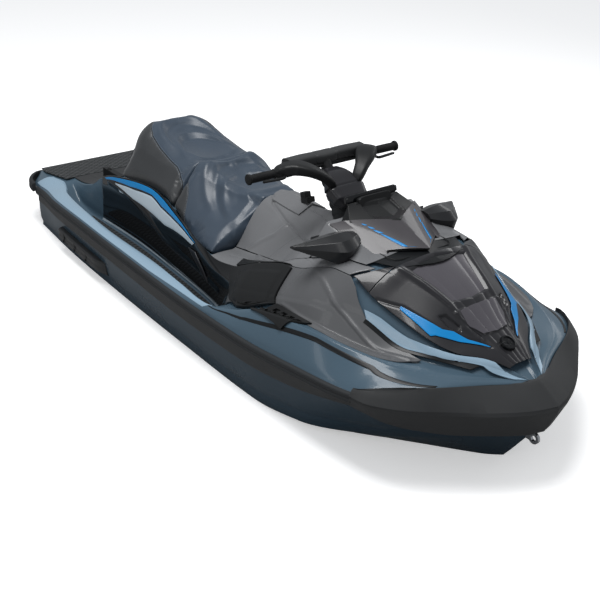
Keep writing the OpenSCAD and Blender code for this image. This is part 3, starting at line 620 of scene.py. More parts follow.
# painted plastics: satin, with a flake that shows close up
TITANIUM = Finish("abs_titanium_grey_painted", "#626365", 0.34, **PAINT | {"coat": 0.25, "mottle": 0.05})
# painted shade: a darker copy of the titanium grey, for the fairings' sides that face away from the light above
TITANIUM_SHADED = Finish("abs_titanium_grey_satin_shaded", "#505153", 0.4, **PAINT | {"coat": 0.1, "grain_depth_mm": 0.012})
SMOKE_DARK = Finish("abs_dark_smoke_painted", "#39373a", 0.34, **PAINT)
SHELL_BLACK = Finish("abs_black_painted_satin", "#1a1b1d", 0.3, coat=0.2, grain_mm=1.2, grain_depth_mm=0.008,
                     mottle=0.1)
CHARCOAL = Finish("abs_charcoal_painted", "#1f1f22", 0.3, **PAINT)
SMOKE = Finish("abs_smoke_grey_painted", "#464449", 0.3, **PAINT)
# closed-cell foam with routed diamonds: matt, with a soft glow at its edges
FOAM = Finish("eva_foam_routed", "#2f3234", 0.8, sheen=0.2, grain_mm=1.2, grain_depth_mm=0.15, mottle=0.1,
              pattern=Pattern.DIAMOND, pitch_mm=26, depth_mm=2.0)
BLUE = Finish("vinyl_film_bright_blue", "#0a78b6", 0.25, **FILM)
PALE_FILM = Finish("vinyl_film_silver", "#a9b6bf", 0.25, **FILM)
STEEL = Finish("stainless_steel_polished", "#b9bcc0", 0.22, metallic=1.0, grain_mm=0.8, grain_depth_mm=0.01,
               mottle=0.05, pattern=Pattern.BRUSHED, pitch_mm=1.0, depth_mm=0.01)
CAST = Finish("aluminium_cast_painted", "#7d8286", 0.45, metallic=1.0, grain_mm=1.6, grain_depth_mm=0.12, mottle=0.12,
              mottle_mm=40)
GRIP = Finish("grip_rubber_moulded", "#141516", 0.7, grain_mm=0.6, grain_depth_mm=0.06, mottle=0.1,
              pattern=Pattern.RIBBED, pitch_mm=5, depth_mm=0.8)
MIRROR = Finish("glass_silvered", "#c9ced2", 0.03, metallic=1.0, grain_mm=20, grain_depth_mm=0.001, mottle=0.02)
SCREEN = Finish("glass_display_cover", "#0a0d12", 0.05, coat=1.0, grain_mm=20, grain_depth_mm=0.001, mottle=0.1)
PAINT_WHITE = Finish("ink_white_printed", "#d8dcdf", 0.4, grain_depth_mm=0.01, mottle=0.03)


def dress(obj: bpy.types.Object, finish: "Finish | Upholstery") -> bpy.types.Object:
    """Give a piece or a CAD node its finish."""
    obj.data.materials.clear()
    obj.data.materials.append(finish.material())
    return obj


def piece(obj: bpy.types.Object, finish: Finish, body: str, slot: str, *nodes: str,
          sharp: float = 40) -> bpy.types.Object:
    """Finish a new piece: shading, material, body and the CAD nodes it stands for.

    Args:
        obj: the piece, in place.
        finish: its surface.
        body: CAD body that carries it.
        slot: the record's material slot; not used.
        nodes: CAD nodes that it replaces.
        sharp: angle in degrees above which an edge stays crisp.

    Returns:
        The same object.
    """
    shade(obj, sharp)
    dress(obj, finish)
    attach(obj, body)
    if nodes:
        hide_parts(*nodes)
    log.info("%s: %d faces", obj.name, len(obj.data.polygons))
    return obj


# --------------------------------------------------------------------------
# The craft's lines, in millimetres
# --------------------------------------------------------------------------
KEEL = Line((-1560, 0, -185), (500, 0, -190), (1000, 0, -178), (1290, 0, -130), (1440, 0, -70),
            (1515, 0, 20), (1590, 0, 130))
CHINE = Line((-1560, 430, -35), (-1000, 490, -22), (0, 548, -8), (600, 568, 0), (860, 540, 20),
             (1140, 415, 60), (1365, 262, 110), (1515, 120, 150), (1590, 40, 180))
RAIL = Line((-1710, 385, 226), (-1635, 450, 228), (-1560, 468, 232), (-1460, 482, 240),
            (-1250, 526, 258), (-830, 576, 284), (-480, 602, 290), (130, 624, 285),
            (545, 627.5, 291), (950, 622, 325), (1215, 604, 352), (1290, 548, 378),
            (1365, 478, 396), (1440, 380, 405), (1515, 205, 396), (1590, 62, 392))
GUNWALE = Line((-1710, 350, 260), (-1560, 375, 262), (-1436, 352, 264), (-1300, 404, 272),
               (-1000, 462, 285), (-620, 500, 291), (-330, 506, 292), (0, 535, 295),
               (300, 580, 318), (430, 560, 352), (540, 552, 396), (942, 528, 452),
               (1215, 450, 436), (1365, 368, 425), (1440, 290, 418), (1515, 150, 405), (1590, 44, 398))
WELL = Line((-1710, 330, 261), (-1560, 350, 263), (-1480, 335, 262), (-1330, 380, 165),
            (-1200, 405, 150), (-620, 470, 150), (0, 500, 150), (130, 520, 152),
            (240, 550, 262), (315, 556, 318), (430, 540, 348), (540, 530, 390),
            (942, 505, 450), (1215, 425, 434), (1365, 325, 424), (1440, 250, 420),
            (1515, 130, 407), (1590, 37, 399))
FOOT = Line((-1710, 300, 262), (-1560, 305, 264), (-1480, 300, 263), (-1330, 298, 166),
            (-1200, 300, 150), (-750, 306, 150), (-400, 330, 150), (0, 372, 150), (130, 405, 152),
            (240, 470, 264), (315, 500, 322), (430, 500, 352), (650, 490, 448), (850, 478, 456),
            (1125, 404, 430), (1275, 322, 438), (1365, 262, 434), (1440, 205, 428),
            (1515, 104, 410), (1590, 31, 400))
FLANK = Line((-1710, 285, 263), (-1480, 285, 264), (-1335, 288, 240), (-1185, 296, 282),
             (-1035, 305, 322), (-750, 330, 352), (-400, 352, 330), (0, 402, 330), (200, 432, 345),
             (362, 468, 388), (633, 478, 470), (850, 446, 520), (990, 385, 528), (1215, 316, 456),
             (1320, 276, 452), (1440, 160, 442), (1515, 84, 418), (1590, 25, 402))
SHOULDER = Line((-1710, 275, 264), (-1410, 275, 268), (-1260, 280, 310), (-1110, 296, 405),
                (-960, 300, 455), (-600, 306, 508), (-290, 345, 462), (-90, 385, 428), (60, 390, 398),
                (180, 384, 412), (360, 378, 490), (540, 374, 556), (615, 372, 572), (820, 346, 640),
                (900, 338, 640), (990, 330, 600), (1125, 300, 545), (1262, 262, 498),
                (1365, 205, 466), (1440, 122, 452), (1515, 62, 426), (1590, 19, 404))
RIDGE = Line((15, 250, 400), (258, 280, 455), (396, 302, 490), (540, 330, 568), (690, 312, 626),
             (840, 290, 668), (990, 232, 668), (1065, 190, 646), (1215, 128, 592), (1350, 82, 508),
             (1440, 62, 468), (1515, 38, 432), (1590, 12, 405))
CREST = Line((15, 118, 604), (205, 122, 584), (390, 150, 578), (540, 190, 640), (690, 205, 700),
             (840, 180, 700), (990, 110, 690), (1065, 90, 668), (1215, 68, 602), (1350, 42, 516),
             (1440, 32, 472), (1515, 20, 434), (1590, 6, 406))
MIDDLE = Line((15, 0, 640), (250, 0, 640), (390, 0, 664), (540, 0, 706), (690, 0, 730), (840, 0, 716),
              (990, 0, 698), (1065, 0, 676), (1215, 0, 606), (1350, 0, 518), (1440, 0, 474),
              (1515, 0, 434), (1590, 0, 407))
BASE = Line((-1710, 0, 265), (-1410, 0, 270), (-1260, 0, 300), (-1110, 0, 335), (-960, 0, 440),
            (-526, 0, 468), (-210, 0, 384), (15, 0, 386), (250, 0, 430), (540, 0, 520),
            (615, 0, 620), (690, 0, 690), (840, 0, 696), (990, 0, 676), (1065, 0, 640), (1215, 0, 560),
            (1350, 0, 472), (1440, 0, 436), (1515, 0, 404), (1590, 0, 384))

RAIL_W = 18 * MM
RAIL_H = 46 * MM
PANEL_T = 12 * MM
STERN, STEM = -1.71, 1.59


def yz(y: Array, z: Array) -> Array:
    """Stack y and z, broadcast against each other, as points of a section."""
    return np.stack(np.broadcast_arrays(np.asarray(y, float), np.asarray(z, float)), -1)


def edge_line(x: Array) -> Array:
    """Outer edge of hull and deck, inboard of the rub rail: rail less the rail's width."""
    p = RAIL(x)
    return yz(p[..., 0] - np.interp(x, [1.215, 1.29], [RAIL_W, 4 * MM]), p[..., 1])


def seam_line(x: Array) -> Array:
    """Seam between hull and deck, half a rail's height below its top."""
    p = edge_line(x)
    return yz(p[..., 0], p[..., 1] - RAIL_H / 2)


def centre_of(line: Line) -> Row:
    """Row on the centre plane at a line's height."""

    def row(x: Array) -> Array:
        """Point (0, z) at each x."""
        return yz(0.0, line(x)[..., 1])

    return row


def side_skin(side: Side) -> Skin:
    """Outer body from the rub rail over the gunwale and the flank to the shoulder.

    Rows: 0 rail, 1 gunwale, 2 well, 3 foot, 4 flank, 5 shoulder.
    """
    return Skin([edge_line, GUNWALE, WELL, FOOT, FLANK, SHOULDER], [0.2, 0.22, 0.2, 0.12, 0.3, 0.2],
                [0.003, 0.0, 0.0, 0.0, 0.004], side)


def top_skin(side: Side) -> Skin:
    """Upper body from the shoulder over ridge and crest to the middle.

    Rows: 0 shoulder, 1 ridge, 2 crest, 3 middle.
    """
    return Skin([SHOULDER, RIDGE, CREST, MIDDLE], [0.2, 0.18, 0.3, 0.2], [0.003, 0.004, 0.002], side)


# --------------------------------------------------------------------------
# Hull, rails and bumpers
# --------------------------------------------------------------------------
@dataclass
class Hull:
    """Hull shell with its pump tunnel, rub rails, bow and stern bumpers and sponsons."""

    transom: float = -1.56
    tunnel_front: float = -1.13
    tunnel_r: float = 0.112
    pump_z: float = -0.05
    well_floor: float = 0.118
    lip: float = 0.03
    stations: int = 130
    rail_outline: Path = ((0.3, 0), (9, -1), (15, -4), (18, -9), (18, -17), (15.5, -20), (15.5, -25), (18, -28),
                          (18, -37), (14, -43), (8, -46), (0.3, -46))
    stern_path: Path = ((-1560, 474), (-1600, 466), (-1640, 452), (-1685, 420), (-1712, 386), (-1722, 350),
                        (-1722, 200), (-1722, 0))
    stern_outline: Path = ((-10, 206), (8, 204), (12, 210), (12, 226), (9, 229), (9, 233), (12, 236), (11, 247),
                           (6, 253), (-10, 254))
    bump_top: Path = ((1215, 588, 372), (1290, 552, 384), (1365, 478, 400), (1440, 378, 411),
                      (1515, 205, 402), (1590, 68, 398), (1606, 0, 400))
    bump_mid: Path = ((1215, 608, 338), (1300, 590, 336), (1410, 510, 334), (1520, 372, 332),
                      (1620, 238, 330), (1690, 112, 330), (1725, 0, 330))
    bump_low: Path = ((1215, 602, 300), (1290, 560, 280), (1390, 478, 250), (1490, 360, 228),
                      (1585, 205, 214), (1645, 85, 205), (1668, 0, 203))

    def half_section(self, x: Array, tunnel: bool) -> Array:
        """Half sections of the hull, shape (stations, points, 2), from the middle of the
        bottom round the chine and the topsides to the middle of the flat top.

        Inside the pump tunnel the first points follow a round arch with straight legs;
        elsewhere they lie on the straight line from keel to chine. Two strakes stand down
        from the bottom as triangular waves, and the topsides carry a low knuckle.
        """
        keel, chine, seam = KEEL(x), CHINE(x), seam_line(x)
        r = self.tunnel_r
        slope = (chine[:, 1] - keel[:, 1]) / chine[:, 0]
        t = np.linspace(0, 1, 15)
        if tunnel:
            a = np.clip(t / 0.7, 0, 1) * math.pi / 2
            arch_y = r * np.sin(a)[None].repeat(len(x), 0)
            foot_z = (keel[:, 1] + slope * r)[:, None]
            arch_z = self.pump_z + r * np.cos(a)[None]
            leg = np.clip((t - 0.7) / 0.3, 0, 1)[None]
            first = yz(arch_y, arch_z * (1 - leg) + foot_z * leg)
        else:
            y = np.minimum(r, 0.8 * chine[:, 0])[:, None] * t
            first = yz(y, keel[:, 1:2] + slope[:, None] * y)
        t = np.linspace(0, 1, 26)[None, 1:]
        y0 = np.minimum(r, 0.8 * chine[:, 0])[:, None]
        y = y0 + (chine[:, :1] - y0) * t
        strake = np.clip(1 - np.abs((t - 0.42) / 0.07), 0, 1) + np.clip(1 - np.abs((t - 0.75) / 0.06), 0, 1)
        fade = np.clip((1.2 - x) / 0.4, 0, 1)[:, None]
        bottom = yz(y, keel[:, 1:2] + slope[:, None] * y - 0.012 * strake * fade)
        t = np.linspace(0, 1, 24)[None, 1:, None]
        topside = chine[:, None] * (1 - t) + seam[:, None] * t
        bulge = 0.007 * 4 * t[..., 0] * (1 - t[..., 0]) - 0.006 * np.exp(-(((t[..., 0] - 0.22) / 0.06) ** 2))
        topside = topside + yz(bulge * np.clip((1.5 - x) / 0.4, 0, 1)[:, None], 0.0)
        lip_y = np.maximum(seam[:, 0] - self.lip, 0.5 * seam[:, 0])
        floor_z = np.maximum(self.well_floor, chine[:, 1] + 0.03)
        rise = (floor_z - chine[:, 1]) / (seam[:, 1] - chine[:, 1])
        floor_y = np.minimum(lip_y - 0.002, 0.9 * (chine[:, 0] + rise * (seam[:, 0] - chine[:, 0])) - 0.004)
        top = np.stack([yz(lip_y, seam[:, 1]), yz(floor_y, floor_z), yz(0 * x, floor_z)], 1)
        return np.concatenate([first, bottom, topside, top], 1)

    def shell(self) -> None:
        """Closed hull: half sections mirrored into rings and lofted from transom to stem."""
        back = np.linspace(self.transom + 0.0004, self.tunnel_front, 24)
        front = self.tunnel_front + (STEM - self.tunnel_front) * np.linspace(0, 1, self.stations) ** 0.9
        x = np.concatenate([back, front])
        half = np.concatenate([self.half_section(back, True), self.half_section(front, False)])
        obj = bevel(solid("hull", stations(x, all_round(half))), 0.003, 2, 50)
        piece(obj, HULL_GEL, "craft", "hull_gelcoat", "hull_shell", sharp=32)

    def rub_rail(self, side: Side) -> None:
        """Rail: a moulded section with two ribs and a groove, carried along the seam."""
        x = np.linspace(self.transom, 1.222, 150)
        rings = edge_line(x)[:, None] + np.array(self.rail_outline) * MM
        obj = bevel(solid("rub_rail_" + side.tag + "_moulded", stations(x, rings, side)), 0.0015, 2, 25)
        piece(obj, RUBBER, "craft", "rubber_trim", "rub_rail_" + side.tag, sharp=50)

    def bow_bumper(self) -> None:
        """Bumper: a faceted nose from three lines, with a proud lip along its top and a
        groove along its middle, wrapped from side to side round the stem."""
        n = 70
        low, mid, top = (smooth_path(np.array(t) * MM, n) for t in (self.bump_low, self.bump_mid, self.bump_top))
        wall_x = np.linspace(1.215, 1.588, n)
        wall = np.column_stack([wall_x, edge_line(wall_x)[:, 0] + 0.0012, top[:, 2]])
        wall[-1] = [1.592, 0, top[-1, 2]]
        wall[-6:, 0] = np.linspace(wall[-6, 0], 1.592, 6)
        wall[-6:, 1] = np.linspace(wall[-6, 1], 0, 6)
        inner_low = wall * [1, 1, 0] + [0, 0, 1] * low[:, 2:3]
        out = unit((mid - wall) * [1, 1, 0])
        # each row: shares of the low, middle and top line, and how far it stands out in metres
        shares = ((1, 0, 0, 0), (0.62, 0.38, 0, 0), (0.2, 0.8, 0, -0.001), (0.04, 0.96, 0, -0.005),
                  (0, 0.93, 0.07, -0.005), (0, 0.88, 0.12, 0.001), (0, 0.45, 0.55, 0.004), (0, 0.12, 0.88, 0.003),
                  (0, 0, 1, 0))
        rows = [low * a + mid * b + top * c + out * d for a, b, c, d in shares]
        half = np.stack(rows + [top * 0.75 + wall * 0.25 + [0, 0, 0.001], wall, inner_low], 1)
        ring = np.concatenate([half, (half * [1, -1, 1])[-2::-1]])
        obj = bevel(solid("bow_bumper_moulded", ring), 0.003, 3, 22)
        piece(obj, BUMPER, "craft", "bumper_plastic", "bow_bumper", sharp=40)

    def stern_bumper(self) -> None:
        """Band round the back of the platform: a rounded section along the deck's edge."""
        half = smooth_path(np.array(self.stern_path) * MM, 60)
        line = np.concatenate([half, (half * [1, -1])[-2::-1]])
        out = unit(np.gradient(line, axis=0)[:, ::-1] * [1, -1])
        out *= np.sign((out * line).sum(1, keepdims=True))
        outline = np.array(self.stern_outline) * MM
        xy = line[:, None] + out[:, None] * outline[None, :, :1]
        points = np.concatenate([xy, np.broadcast_to(outline[None, :, 1:], xy.shape[:2] + (1,))], -1)
        obj = bevel(solid("stern_bumper_moulded", points), 0.0015, 2, 25)
        piece(obj, RUBBER, "craft", "rubber_trim", "stern_bumper", sharp=50)

    def sponson(self, side: Side) -> None:
        """Sponson: a fin on the topsides whose outer face swells and tapers forward."""
        x = np.linspace(-1.185, -0.66, 40)
        chine, seam = CHINE(x)[:, None], seam_line(x)[:, None]
        swell = 0.034 * (1 - np.clip((x + 0.76) / 0.1, 0, 1) ** 2 * 0.8)
        z = np.array([62, 66, 72, 96, 104, 126, 134, 138]) * MM
        proud = np.array([0.0, 0.75, 1.0, 1.0, 0.86, 0.9, 0.7, 0.0])
        share = (z - chine[..., 1]) / (seam[..., 1] - chine[..., 1])
        y = chine[..., 0] + share * (seam[..., 0] - chine[..., 0]) + 0.004 + swell[:, None] * proud
        obj = bevel(solid("sponson_" + side.tag + "_moulded", stations(x, yz(y, z), side)), 0.003, 2, 30)
        piece(obj, BUMPER, "craft", "grey_plastic", "sponson_" + side.tag, sharp=45)

    def side_band(self, side: Side) -> None:
        """Dark band on the topsides under the rub rail, a little proud of the gelcoat.

        Its depth below the seam varies along the craft; a point at share s between chine and
        seam moves out by 0.028 * s * (1 - s) + 0.003, the topsides' own bulge and a wall.
        """
        x = np.linspace(-1.556, 1.26, 260)
        chine, seam = CHINE(x), seam_line(x)
        deep = np.interp(x, [-1.56, -1.2, 0.0, 0.9, 1.26], [0.062, 0.076, 0.094, 0.092, 0.080])
        low = 1 - deep / np.linalg.norm(seam - chine, axis=1)
        s = low[:, None] + (0.985 - low[:, None]) * np.linspace(0, 1, 12)[None]
        line = chine[:, None] * (1 - s[..., None]) + seam[:, None] * s[..., None]
        points = stations(x, yz(line[..., 0] + 0.028 * s * (1 - s) + 0.003, line[..., 1]), side)
        obj = wall(sheet("side_band_" + side.tag, points, (0, side.value, 0)), 0.004, 0.0015)
        piece(obj, BUMPER, "craft", "rubber_trim", sharp=40)

    def build(self) -> None:
        """All of it."""
        self.shell()
        self.bow_bumper()
        self.stern_bumper()
        for side in Side:
            self.rub_rail(side)
            self.side_band(side)
            self.sponson(side)


# --------------------------------------------------------------------------
# Deck
# --------------------------------------------------------------------------
@dataclass
class Deck:
    """Deck moulding with its footwells, the boarding platform, mats and cargo fittings."""

    shelf: float = 0.196
    pod_back: float = -1.11
    bin_box: Path = ((0.660, -0.168, 0.227), (0.960, 0.168, 0.60))

    def core_flank(self, x: Array) -> Array:
        """Flank line of the moulding: under a panel it lies one panel thickness inboard."""
        p = FLANK(x)
        share = np.clip((x - self.pod_back) / 0.03 + 1, 0, 1)
        low = np.clip((x - 0.20) / 0.05, 0, 1) * PANEL_T
        return yz(p[..., 0] - PANEL_T * share, p[..., 1] - low)

    def core_shoulder(self, x: Array) -> Array:
        """Shoulder line of the moulding, below the pods and fairings."""
        p = SHOULDER(x)
        share = np.clip((x - self.pod_back) / 0.03 + 1, 0, 1) * PANEL_T
        return yz(np.maximum(p[..., 0] - share, 0.8 * p[..., 0]), p[..., 1] - share)

    def core_foot(self, x: Array) -> Array:
        """Foot line: the well's inner corner, and under the fairings a little lower."""
        p = FOOT(x)
        share = np.clip((x - 0.20) / 0.05, 0, 1)
        return yz(p[..., 0] - 3 * MM * share, p[..., 1] - PANEL_T * share)

    def core_ridge(self, x: Array) -> Array:
        """Edge of the flat top on which seat and console sit."""
        s, r, b = SHOULDER(x), RIDGE(x), BASE(x)
        front = np.maximum(r[..., 0] - PANEL_T, 0.7 * r[..., 0])
        y = np.where(x < 0, s[..., 0] - 26 * MM, front)
        z = np.where(x < 0, b[..., 1], np.minimum(b[..., 1], r[..., 1] - PANEL_T))
        return yz(y, z)

    def moulding(self) -> None:
        """Deck skin: rows from the seam over rail, gunwale, well and flank to the flat top,
        one grid per side, left open where the storage bin is let in."""
        rows = [seam_line, edge_line, GUNWALE, WELL, self.core_foot, self.core_flank, self.core_shoulder,
                self.core_ridge, centre_of(BASE)]
        lo, hi = self.bin_box
        x = np.concatenate([np.linspace(STERN, lo[0], 150), np.linspace(lo[0], hi[0], 20)[1:],
                            np.linspace(hi[0], STEM, 50)[1:]])
        v = np.concatenate([np.linspace(0, 7, 113), [7.15, 7.3, 7.42, 7.55, 7.7, 7.85, 8.0]])
        halves = []
        for side in Side:
            skin = Skin(rows, [0.2, 0.3, 0.22, 0.2, 0.22, 0.2, 0.2, 0.12, 0.2], [0, 0.003, 0, 0, 0, 0, 0, 0], side)
            xx, vv = np.meshgrid(x, v, indexing="ij")
            p = skin.point(xx, vv)
            over = (xx > lo[0] - 0.001) & (xx < hi[0] + 0.001)
            j = int(np.argmin(np.abs(v - 7.42)))
            p[..., j, 1] = np.where(over[:, j], side.value * hi[1], p[..., j, 1])
            quads = grid_faces(len(x), len(v))
            mid = p.reshape(-1, 3)[quads].mean(1)
            keep = ~((mid[:, 0] > lo[0]) & (mid[:, 0] < hi[0]) & (np.abs(mid[:, 1]) < hi[1]))
            quads = quads[keep][:, ::-side.value]
            halves.append(new_object("deck_half_" + side.tag, p, quads.tolist()))
        obj = joined("deck_moulding", halves)
        tidy(obj, recalc=False)
        modifier(obj, "SOLIDIFY", thickness=0.005, offset=-1)
        piece(obj, DECK_GEL, "craft", "deck_gelcoat", "deck", "bow_deck", sharp=38)

    def stern_face(self) -> None:
        """Back and underside of the platform's overhang: a closed slab under the deck skin."""
        x = np.linspace(STERN + 0.001, -1.5625, 24)
        edge, wide = edge_line(x), GUNWALE(x)
        half = np.stack([yz(0 * x, self.shelf), yz(edge[:, 0] - 0.03, self.shelf),
                         yz(edge[:, 0] - 0.008, self.shelf + 0.008), edge - [0.006, 0.004], wide - 0.006,
                         yz(0 * x, wide[:, 1] - 0.006)], 1)
        obj = bevel(solid("platform_underside", stations(x, all_round(half))), 0.003)
        piece(obj, LINER_GEL, "craft", "deck_gelcoat")

    def bin_liner(self) -> None:
        """Storage bin: an open box with rounded corners, hung from the deck's opening."""
        lo, hi = (np.array(c) for c in self.bin_box)
        mid, half = (lo + hi)[:2] / 2, (hi - lo)[:2] / 2
        loop = superellipse(64, 0.25)
        rim_z = float(BASE(np.array(0.8))[1]) - 0.01
        levels = ((1.0, rim_z), (0.985, rim_z - 0.02), (0.95, lo[2] + 0.05), (0.93, lo[2] + 0.02),
                  (0.86, lo[2] + 0.006), (0.02, lo[2] + 0.006))
        rings = np.array([np.column_stack([mid + half * loop * k, np.full(64, z)]) for k, z in levels])
        obj = sheet("storage_bin", rings, (0, 0, 1), wrap_v=True)
        modifier(obj, "SOLIDIFY", thickness=0.003, offset=-1)
        piece(obj, SATIN_BLACK, "craft", "black_plastic")

    def mats(self) -> None:
        """Foam mats: thin grids on the platform and in the footwells, one thickness up."""
        x = np.linspace(-1.706, -1.476, 30)
        y = np.linspace(-1, 1, 60)[None]
        wide = np.interp(x, [-1.706, -1.64, -1.476], [0.352, 0.360, 0.318])[:, None]
        points = stations(x, yz(wide * y, BASE(x)[:, 1:] + 0.008))
        obj = wall(sheet("platform_foam", points, (0, 0, 1)), 0.006, 0.002)
        piece(obj, FOAM, "craft", "foam_mat", "platform_mat")
        parts = []
        for side in Side:
            x, t = np.linspace(-1.185, 0.085, 90), np.linspace(0, 1, 12)[None, :, None]
            inner, outer = FOOT(x)[:, None] + [0.018, 0.008], WELL(x)[:, None] + [-0.006, 0.008]
            parts.append(sheet("mat_" + side.tag, stations(x, inner * (1 - t) + outer * t, side), (0, 0, 1)))
        obj = wall(joined("footwell_foam", parts), 0.006, 0.002)
        piece(obj, FOAM, "craft", "foam_mat", "footwell_mats")

    def build(self) -> None:
        """All of it."""
        self.moulding()
        self.stern_face()
        self.bin_liner()
        self.mats()


# --------------------------------------------------------------------------
# Body panels
# --------------------------------------------------------------------------
def distance_to(points: Array, path: Array) -> Array:
    """Shortest distance from each point to a path of straight legs.

    On each leg the nearest point is a + clip((p - a).(b - a) / |b - a|^2, 0, 1) (b - a).
    """
    best = np.full(points.shape[:-1], np.inf)
    for a, b in zip(path[:-1], path[1:]):
        leg = b - a
        t = np.clip(((points - a) @ leg) / max(float(leg @ leg), 1e-12), 0, 1)
        best = np.minimum(best, np.linalg.norm(points - a - t[..., None] * leg, axis=-1))
    return best


def inside(x: Array, v: Array, outline: Path) -> Array:
    """True where (x, v) is inside a polygon, by counting the edges that a ray crosses."""
    p = np.array(outline, float)
    hit = np.zeros(np.shape(x), bool)
    for (x0, v0), (x1, v1) in zip(p, np.roll(p, -1, axis=0)):
        crosses = (v0 > v) != (v1 > v)
        hit ^= crosses & (x < x0 + (v - v0) * (x1 - x0) / (v1 - v0 if v1 != v0 else 1e-9))
    return hit


@dataclass(frozen=True)
class Groove:
    """A seam line pressed into a panel along a path of (x, v) on its skin.

    Attributes:
        path: the line's points.
        width: half width in metres at which the depth has fallen to a third.
        depth: depth in metres; negative stands it up as a rib.
    """

    path: Path
    width: float = 0.0025
    depth: float = 0.0035


@dataclass(frozen=True)
class Step:
    """A flat raised or sunk area of a panel, with a short ramp round it.

    Attributes:
        outline: polygon of (x, v) on the skin.
        height: rise in metres, or fall if negative.
        ramp: width in metres of the ramp inside the outline.
    """

    outline: Path
    height: float
    ramp: float = 0.006


@dataclass(frozen=True)
class Panel:
    """One moulded panel, or a film laid on one, as a patch of a skin.

    Attributes:
        name: the piece's name, with {} for the side's ending.
        lower: one edge, as points (x, v): x in metres, v the number of the row.
        upper: the edge across from it.
        grid: points along and across.
        lift: how far it stands off the skin, in metres.
        finish: its surface.
        slot: the record's material slot.
        wall: its thickness in metres, or 0 for a full moulding with rounded rims.
        marks: grooves and steps pressed into it.
        node: CAD node that it stands for, with {} for the side's ending.
        upper_skin: on the skin from shoulder to middle, not the one from rail to shoulder.
    """

    name: str
    lower: Path
    upper: Path
    grid: tuple[int, int]
    lift: float
    finish: Finish
    slot: str
    wall: float = 0.0
    marks: Sequence[Groove | Step] = ()
    node: str = ""
    upper_skin: bool = False

    def surface(self, side: Side) -> Array:
        """Grid of points: the skin's patch, moved along its normals by the lift and the marks.

        A groove moves a point by -depth * exp(-(distance / width)^2). A step moves the
        points inside its outline by height * smooth(distance to the outline / ramp).
        """
        skin = top_skin(side) if self.upper_skin else side_skin(side)
        a, b = walk(self.lower, self.grid[0]), walk(self.upper, self.grid[0])
        t = np.linspace(0, 1, self.grid[1])[None, :, None]
        x, v = np.moveaxis(a[:, None] * (1 - t) + b[:, None] * t, -1, 0)
        base, rise = skin.point(x, v), np.full(x.shape, self.lift)
        for mark in self.marks:
            if isinstance(mark, Groove):
                line = walk(mark.path, 60)
                d = distance_to(base, skin.point(line[:, 0], line[:, 1]))
                rise = rise - mark.depth * np.exp(-((d / mark.width) ** 2))
            else:
                loop = walk([*mark.outline, mark.outline[0]], 90)
                d = distance_to(base, skin.point(loop[:, 0], loop[:, 1])) * inside(x, v, mark.outline)
                s = np.clip(d / mark.ramp, 0, 1)
                rise = rise + mark.height * s * s * (3 - 2 * s)
        return base + rise[..., None] * skin.normal(x, v)

    def make(self, side: Side | None = None) -> None:
        """Build it on one side, or across the middle from its two halves."""
        if side:
            points, tag = self.surface(side), side.tag
        else:
            port, starboard = self.surface(Side.PORT), self.surface(Side.STARBOARD)
            points, tag = np.concatenate([port, starboard[:, -2::-1]], 1), ""
        skin = sheet(self.name.format(tag), points, (0, side.value if side else 0, 1))
        obj = wall(skin, self.wall or MOULDED_WALL, 0.0004 if self.wall else 0.0012)
        piece(obj, self.finish, "craft", self.slot, *([self.node.format(tag)] if self.node else []), sharp=32)


MOULDED_WALL = 5 * MM
FILM_WALL = 0.8 * MM
POD_CREASE = ((-1.03, 4.7), (-0.82, 4.36), (-0.6, 4.09), (-0.45, 3.83), (-0.31, 3.76), (-0.09, 3.75), (0.1, 3.6))
# corners of the side vent: low aft, low fore, top fore, top aft
VENT = ((0.533, 1.14), (0.753, 0.73), (0.858, 2.49), (0.640, 3.05))


def vent_point(s: float, r: float) -> tuple[float, float]:
    """Point of the vent at shares s along and r across: the corners weighed by both."""
    v = np.array(VENT)
    return tuple(v[0] * (1 - s) * (1 - r) + v[1] * s * (1 - r) + v[2] * s * r + v[3] * (1 - s) * r)


VENT_SLOTS = tuple(Step([vent_point(s, 0.22), vent_point(s + 0.13, 0.22), vent_point(s + 0.13, 0.80),
                         vent_point(s, 0.80)], -0.009, 0.003) for s in (0.16, 0.38, 0.60, 0.80))
# side pod with its two stripes, its fin, and a pale strip along its lower edge as a painted highlight
POD = (
    Panel("side_pod_{}_moulded", [(-1.11, 3.06), (0.238, 3.06)], [(-1.11, 4.985), (0.238, 4.985)], (230, 70), 0,
          GLOSS_BLACK, "gloss_black", node="side_pod_{}",
          marks=[Groove(POD_CREASE, 0.012, -0.006),
                 Groove([(-1.1, 3.25), (-0.6, 3.3), (-0.1, 3.2), (0.2, 3.2)], 0.01, -0.004)]),
    Panel("pod_stripe_blue_{}",
          [(-1.06, 4.80), (-0.80, 4.72), (-0.59, 4.80), (-0.49, 4.72), (-0.32, 4.78), (-0.12, 4.80)],
          [(-1.08, 4.90), (-0.80, 4.93), (-0.60, 4.95), (-0.50, 4.93), (-0.32, 4.90), (-0.11, 4.82)],
          (60, 6), 0.0035, BLUE, "gloss_black", FILM_WALL),
    Panel("pod_stripe_silver_{}",
          [(-0.90, 4.36), (-0.75, 4.33), (-0.60, 4.31), (-0.43, 4.30), (-0.33, 4.42), (-0.14, 4.58)],
          [(-0.96, 4.68), (-0.75, 4.66), (-0.59, 4.75), (-0.49, 4.67), (-0.32, 4.72), (-0.12, 4.75)],
          (60, 6), 0.004, PALE_FILM, "gloss_black", FILM_WALL),
    Panel("pod_fin_{}", [(-0.17, 4.35), (-0.02, 3.6)], [(-0.10, 4.45), (0.01, 3.62)], (20, 6), 0.009,
          CHARCOAL, "charcoal_panel", 0.006),
    # painted highlight: a pale film strip along the pod's lower edge stands in for the light caught on that edge
    Panel("pod_edge_{}", [(-1.11, 3.02), (0.2, 3.02)], [(-1.11, 3.12), (0.2, 3.12)], (120, 4), 0.004,
          PALE_FILM, "gloss_black", 0.003),
)
